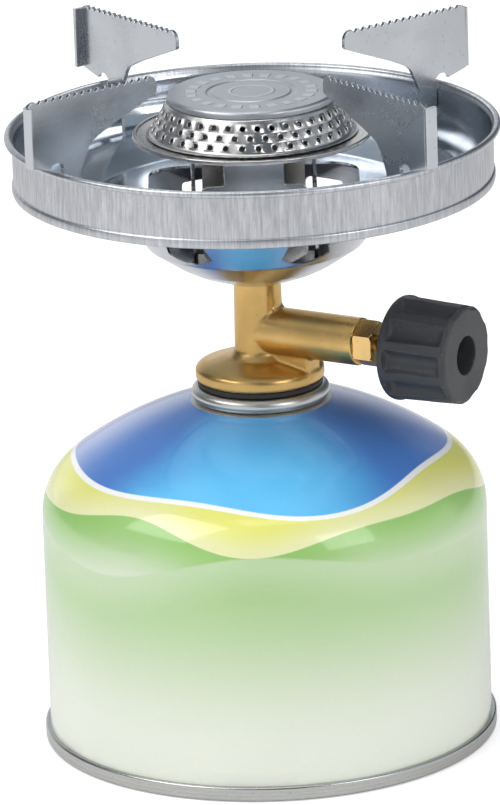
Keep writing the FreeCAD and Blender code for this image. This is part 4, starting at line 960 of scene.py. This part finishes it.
def build_ports(sizes):
    """The cone of flame ports: one patch of sheet round each port, and a plain strip above and below."""
    rows, sides = 3, 16
    sheet, foot, foot_rise = 0.6, 24.5, 0.8
    low, row_step = 0.95, 2.1
    high = low + rows * row_step
    slope = 4.3 / 7.3
    lean = math.atan(slope)
    count = sizes.ports
    port = sizes.port_radius / MM
    bm = bmesh.new()

    def on_cone(angle, rise, lift):
        """A new point on the cone, at a rise above the brim and lifted off the sheet."""
        reach = foot - (rise - foot_rise) * slope + lift * math.cos(lean)
        height = BRIM_TOP + rise + lift * math.sin(lean)
        return bm.verts.new(Vector((reach * math.cos(angle), reach * math.sin(angle), height)) * MM)

    # Each level is a radius round the port, or none for the patch's own edge, and a lift off the sheet.
    levels = [(None, 0.0), (port + 0.36, 0.0), (port + 0.24, 0.10), (port + 0.1, 0.13), (port, 0.05),
              (port - 0.03, -0.12), (port, -sheet), (None, -sheet)]
    edge_points = []
    for k in range(sides):
        side, part = divmod(k, 4)
        along = part / 4 - 0.5
        edge_points.append(((0.5, along), (-along, 0.5), (-0.5, -along), (along, -0.5))[side])

    def port_loop(middle, rise, radius, lift):
        """One loop of points round a port."""
        loop = []
        for right, up in edge_points:
            turn = math.atan2(up, right)
            if radius is None:
                place = (middle + right * FULL / count, rise + up * row_step)
            else:
                reach = foot - (rise - foot_rise) * slope
                climb = radius * math.sin(turn) * math.cos(lean)
                place = (middle + radius * math.cos(turn) / reach, rise + climb)
            loop.append(on_cone(*place, lift))
        return loop

    for row in range(rows):
        rise = low + row_step * (row + 0.5)
        for step in range(count):
            middle = (step + row % 2 / 2) * FULL / count
            loops = [port_loop(middle, rise, radius, lift) for radius, lift in levels]
            for first, second in zip(loops, loops[1:]):
                for k in range(sides):
                    bm.faces.new((first[k - 1], first[k], second[k], second[k - 1]))

    strips = ([(high, 0.0), (7.7, 0.0), (8.0, 0.0), (8.1, -0.1), (8.2, -0.5), (7.9, -sheet), (high, -sheet)],
              [(low, 0.0), (0.75, 0.02), (0.5, 0.12), (0.25, 0.35), (0.05, 0.65), (0.05, 0.1), (0.3, -0.4),
               (low, -sheet)])
    around = 4 * count
    for points in strips:
        lines = [[on_cone(FULL * k / around, rise, lift) for rise, lift in points] for k in range(around)]
        for k in range(around):
            last, line = lines[k - 1], lines[k]
            for index in range(len(points) - 1):
                bm.faces.new((last[index], line[index], line[index + 1], last[index + 1]))
    finished("burner_ports", bm, "stove", "stainless", "burner_cone", sharp=50)


def build_head():
    """The brim under the flame ports and the pressed cap on them."""
    sheet, throat, edge = 0.8, 6.45, 28.8
    under = BRIM_TOP - sheet
    brim = rounded([(throat, under), (27.2, under, 0.5), (edge, under, 0.3), (edge, under + 1.1, 0.28),
                    (28.0, under + 1.1, 0.28), (27.7, BRIM_TOP, 0.3), (24.9, BRIM_TOP), (throat, BRIM_TOP)])
    turned_piece("burner_brim", "stove", "stainless", "burner_base", brim, 192)

    top, dent = CAP_TOP, CAP_TOP - 0.22
    cap = rounded([(0, top - 0.6), (17.6, top - 0.6), (19.6, top - 1.8, 0.5), (20.2, top - 1.75, 0.2),
                   (20.1, top, 1.3), (11.0, top, 0.2), (10.5, dent, 0.1), (9.8, dent, 0.1), (9.3, top, 0.2),
                   (0, top)])
    turned_piece("pressed_cap", "stove", "cap_steel", "burner_cap", cap, 192)


# Pot supports

BLADE_END = 66.2


def support_outline(sizes):
    """The blade seen from its side: distance from the axis, and height."""
    top, lip = SUPPORT_TOP, LIP_Z
    inner, tip_radius = 28.4, 2.4
    stem_in, stem_out, hook, stem_foot = 51.5, 55.7, 56.7, lip - 14.6
    tip = arc((inner + tip_radius, top - tip_radius), tip_radius, 90, 180, 8)
    lower = [(inner, top - 2.5), (inner, top - 4.4, 0.8), (43.4, lip + 7.6, 2.5), (48.5, lip + 5.2, 4.0),
             (stem_in, lip - 1.4, 3.0), (stem_in, stem_foot), (stem_out, stem_foot), (stem_out, lip - 6.5),
             (hook, lip - 6.5), (hook, lip + 0.7, 0.8)]
    turns = [math.pi * (1 - step / 8) for step in range(1, 9)]
    notch = [(58.6 + 1.9 * math.cos(turn), lip + 0.5 + 1.5 * math.sin(turn)) for turn in turns]
    crest = [(BLADE_END, lip + 2.1), (BLADE_END, top - 0.9), (65.6, top - 0.25), (64.6, top)]
    first, pitch, land, steps, fullness = 64.2, 2.1, 0.18, 7, 0.8
    teeth = []
    for tooth in range(sizes.teeth):
        for step in range(steps + 1):
            share = max(0.0, math.sin(math.pi * step / steps)) ** fullness
            along = first - pitch * (tooth + (1 - land) * step / steps)
            teeth.append((along, top - sizes.tooth_depth / MM * share))
    return tip + rounded(lower)[1:] + notch + crest + teeth


def build_supports(sizes):
    """Four serrated blades, each with its outer end bent into a wing."""
    blade = support_outline(sizes)
    sheet, wing_end = 1.0, 2.6
    wing_low, wing_top = LIP_Z + 2.3, SUPPORT_TOP - 0.9
    outer = BLADE_END + sheet
    bend = rounded([(BLADE_END, -0.5), (outer, -0.5, 0.95), (outer, wing_end, 0.3),
                    (BLADE_END, wing_end, 0.3), (BLADE_END, 0.5, 0.25)], 0.2)
    for number in range(1, 5):
        turn = Matrix.Rotation(SUPPORT_TURN + FULL * (number - 1) / 4, 4, "Z")
        bm = bmesh.new()
        slab(bm, blade, sheet, turn @ Matrix.Rotation(math.pi / 2, 4, "X"))
        slab(bm, bend, wing_top - wing_low, turn @ Matrix.Translation((0, 0, (wing_top + wing_low) / 2 * MM)))
        finished(f"serrated_support_{number}", bm, "stove", "support_steel", f"pot_support_{number}",
                 bevel=0.2)


# Stage

CAMERA_TURN = math.radians(30)
CAMERA_RISE = math.radians(17.223)
CAMERA_ROLL = math.radians(1.897)
CAMERA_AWAY = 1.865
TARGET_RIGHT = -2.698
TARGET_UP = 82.638
PHOTO_HEIGHT = 805
FOCAL_PIXELS = 7710.6
SENSOR = 36.0
FLOOR_DROP = 0.2
LAMP_TARGET = 90.0

# Name, power in watts, size in metres, turn and rise in degrees, and distance in metres.
LAMPS = (
    ("key", 7.8, 0.8, -35, 48, 1.25),
    ("fill", 4.0, 0.6, 75, 28, 1.3),
    ("top", 1.6, 0.5, 40, 80, 1.2),
    ("rim", 1.2, 0.4, 215, 58, 1.2),
)


def direction(turn, rise):
    """The way from the object to a place round it, from its front and the floor."""
    return Vector((math.sin(turn) * math.cos(rise), -math.cos(turn) * math.cos(rise), math.sin(rise)))


def build_surroundings(scene):
    """A studio with soft panels that metal reflects. The camera sees white."""
    world = bpy.data.worlds.new("studio")
    scene.world = world
    world.use_nodes = True
    tree = world.node_tree
    background = tree.nodes["Background"]
    place = add_node(tree, "ShaderNodeTexCoord").outputs["Generated"]
    split = add_node(tree, "ShaderNodeSeparateXYZ", {0: place})
    up = split.outputs[2]
    azimuth = sum_up(tree, "ARCTAN2", split.outputs[1], split.outputs[0])
    stripes = sum_up(tree, "SINE", times(tree, azimuth, 3.0, 0.6))
    slow = sum_up(tree, "SINE", times(tree, azimuth, 1.0, 1.3))
    panels = spread(tree, times(tree, slow, 0.5, stripes), -0.35, 0.35, smooth=True)
    walls = colour_mix(tree, panels, (0.10, 0.12, 0.15), (0.92, 0.94, 0.97))
    ceiling = colour_mix(tree, panels, (0.06, 0.085, 0.11), (0.30, 0.35, 0.40))
    room = colour_mix(tree, spread(tree, up, 0.22, 0.50, smooth=True), walls, ceiling)
    reflected = colour_mix(tree, spread(tree, up, 0.0, -0.25), room, (0.75, 0.75, 0.75))
    path = add_node(tree, "ShaderNodeLightPath")
    lit = colour_mix(tree, path.outputs["Is Glossy Ray"], (0.60, 0.60, 0.62), reflected)
    seen = colour_mix(tree, path.outputs["Is Camera Ray"], lit, (1.0, 1.0, 1.0))
    tree.links.new(seen, background.inputs["Color"])
    background.inputs["Strength"].default_value = 1.0


def build_floor():
    """A pale disc under the object, a little brighter to the camera."""
    bm = bmesh.new()
    bmesh.ops.create_circle(bm, cap_ends=True, segments=96, radius=4.0)
    floor = linked("floor", bm)
    floor.location.z = -FLOOR_DROP * MM
    made = bpy.data.materials.new("pale_floor")
    made.use_nodes = True
    tree = made.node_tree
    shader = tree.nodes["Principled BSDF"]
    constants = {"Base Color": (0.82, 0.82, 0.82, 1.0), "Roughness": 0.9, "Specular IOR Level": 0.1,
                 "Emission Strength": 1.0}
    for label, constant in constants.items():
        shader.inputs[label].default_value = constant
    path = add_node(tree, "ShaderNodeLightPath")
    shown = colour_mix(tree, path.outputs["Is Camera Ray"], (0, 0, 0), (0.40, 0.40, 0.40))
    feed(shader, "Emission Color", shown)
    floor.data.materials.append(made)


def build_lamps(scene):
    """Soft lamps that face the middle of the object."""
    middle = Vector((0, 0, LAMP_TARGET * MM))
    for name, power, size, turn, rise, away in LAMPS:
        light = bpy.data.lights.new(name, "AREA")
        light.energy = power
        light.size = size
        lamp = bpy.data.objects.new(name, light)
        back = direction(math.radians(turn), math.radians(rise))
        lamp.location = middle + back * away
        lamp.rotation_euler = back.to_track_quat("Z", "Y").to_euler()
        scene.collection.objects.link(lamp)


def build_camera(scene):
    """The camera at the photograph's angle."""
    right = Vector((math.cos(CAMERA_TURN), math.sin(CAMERA_TURN), 0))
    back = direction(CAMERA_TURN, CAMERA_RISE)
    up = back.cross(right)
    across = right * math.cos(CAMERA_ROLL) - up * math.sin(CAMERA_ROLL)
    upward = right * math.sin(CAMERA_ROLL) + up * math.cos(CAMERA_ROLL)
    target = right * TARGET_RIGHT * MM + Vector((0, 0, TARGET_UP * MM))
    lens = bpy.data.cameras.new("camera")
    lens.sensor_fit = "AUTO"
    lens.sensor_width = SENSOR
    lens.lens = FOCAL_PIXELS * SENSOR / PHOTO_HEIGHT
    lens.clip_start = 0.05
    lens.clip_end = 20
    camera = bpy.data.objects.new("camera", lens)
    facing = Matrix((across, upward, back)).transposed().to_4x4()
    camera.matrix_world = Matrix.Translation(target + back * CAMERA_AWAY) @ facing
    scene.collection.objects.link(camera)
    scene.camera = camera


class STOVE_OT_cartridge(bpy.types.Operator):
    """Builds the printed cartridge, its seam, its neck cup and the sealing ring"""
    bl_idname = "stove.cartridge"
    bl_label = "Cartridge"

    def execute(self, context):
        can = context.scene.stove_sizes.can_radius / MM
        build_shell(can)
        build_seam(can)
        build_neck()
        return {"FINISHED"}


class STOVE_OT_brass(bpy.types.Operator):
    """Builds the forged brass valve body"""
    bl_idname = "stove.brass"
    bl_label = "Brass body"

    def execute(self, context):
        build_brass(context.scene.stove_sizes)
        return {"FINISHED"}


class STOVE_OT_knob(bpy.types.Operator):
    """Builds the gland nut, the spindle and the fluted knob"""
    bl_idname = "stove.knob"
    bl_label = "Knob and spindle"

    def execute(self, context):
        build_spindle()
        build_knob(context.scene.stove_sizes)
        return {"FINISHED"}


class STOVE_OT_pan(bpy.types.Operator):
    """Builds the zinc-plated pan and the air bowl below it"""
    bl_idname = "stove.pan"
    bl_label = "Pan and bowl"

    def execute(self, context):
        build_pan()
        build_bowl(context.scene.stove_sizes)
        return {"FINISHED"}


class STOVE_OT_burner(bpy.types.Operator):
    """Builds the cradle, the jet and the burner head with its flame ports"""
    bl_idname = "stove.burner"
    bl_label = "Burner"

    def execute(self, context):
        build_cradle()
        build_tubes()
        build_ports(context.scene.stove_sizes)
        build_head()
        return {"FINISHED"}


class STOVE_OT_supports(bpy.types.Operator):
    """Builds the four serrated pot supports"""
    bl_idname = "stove.supports"
    bl_label = "Pot supports"

    def execute(self, context):
        build_supports(context.scene.stove_sizes)
        return {"FINISHED"}


class STOVE_OT_inner_parts(bpy.types.Operator):
    """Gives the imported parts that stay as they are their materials"""
    bl_idname = "stove.inner_parts"
    bl_label = "Inner parts"

    def execute(self, context):
        slots = {part["node"]: part["material_slot"] for part in frame["record"]["subparts"]}
        kept = ("valve_housing", "valve_stem_seal", "valve_poppet", "poppet_spring", "opening_pin",
                "inlet_filter", "inlet_oring", "spindle_oring", "gland_packing", "knob_screw")
        for name in kept:
            part = frame["nodes"][name]
            part.data.materials.clear()
            part.data.materials.append(material(slots[name]))
        return {"FINISHED"}


class STOVE_OT_stage(bpy.types.Operator):
    """Builds the floor, the lights, the surroundings and the camera"""
    bl_idname = "stove.stage"
    bl_label = "Stage"

    def execute(self, context):
        context.scene.view_settings.view_transform = "Standard"
        build_surroundings(context.scene)
        build_floor()
        build_lamps(context.scene)
        build_camera(context.scene)
        return {"FINISHED"}


OPERATORS = (STOVE_OT_cartridge, STOVE_OT_brass, STOVE_OT_knob, STOVE_OT_pan, STOVE_OT_burner,
             STOVE_OT_supports, STOVE_OT_inner_parts, STOVE_OT_stage)


class STOVE_PT_panel(bpy.types.Panel):
    """Lists the sizes, the colours and the steps"""
    bl_idname = "STOVE_PT_panel"
    bl_label = "Stove"
    bl_space_type = "VIEW_3D"
    bl_region_type = "UI"
    bl_category = "Stove"

    def draw(self, context):
        for group in (context.scene.stove_sizes, context.scene.stove_colours):
            for key in group.__annotations__:
                self.layout.prop(group, key)
        for operator in OPERATORS:
            self.layout.operator(operator.bl_idname)


CLASSES = (StoveSizes, StoveColours, *OPERATORS, STOVE_PT_panel)


def register():
    """Adds the classes, and the sizes and colours that the scene keeps."""
    for item in CLASSES:
        bpy.utils.register_class(item)
    bpy.types.Scene.stove_sizes = PointerProperty(type=StoveSizes)
    bpy.types.Scene.stove_colours = PointerProperty(type=StoveColours)


def unregister():
    """Takes away what register added."""
    del bpy.types.Scene.stove_colours
    del bpy.types.Scene.stove_sizes
    for item in reversed(CLASSES):
        bpy.utils.unregister_class(item)


def main():
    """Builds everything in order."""
    register()
    bpy.ops.stove.cartridge()
    bpy.ops.stove.brass()
    bpy.ops.stove.knob()
    bpy.ops.stove.pan()
    bpy.ops.stove.burner()
    bpy.ops.stove.supports()
    bpy.ops.stove.inner_parts()
    bpy.ops.stove.stage()


if __name__ == "__main__":
    main()
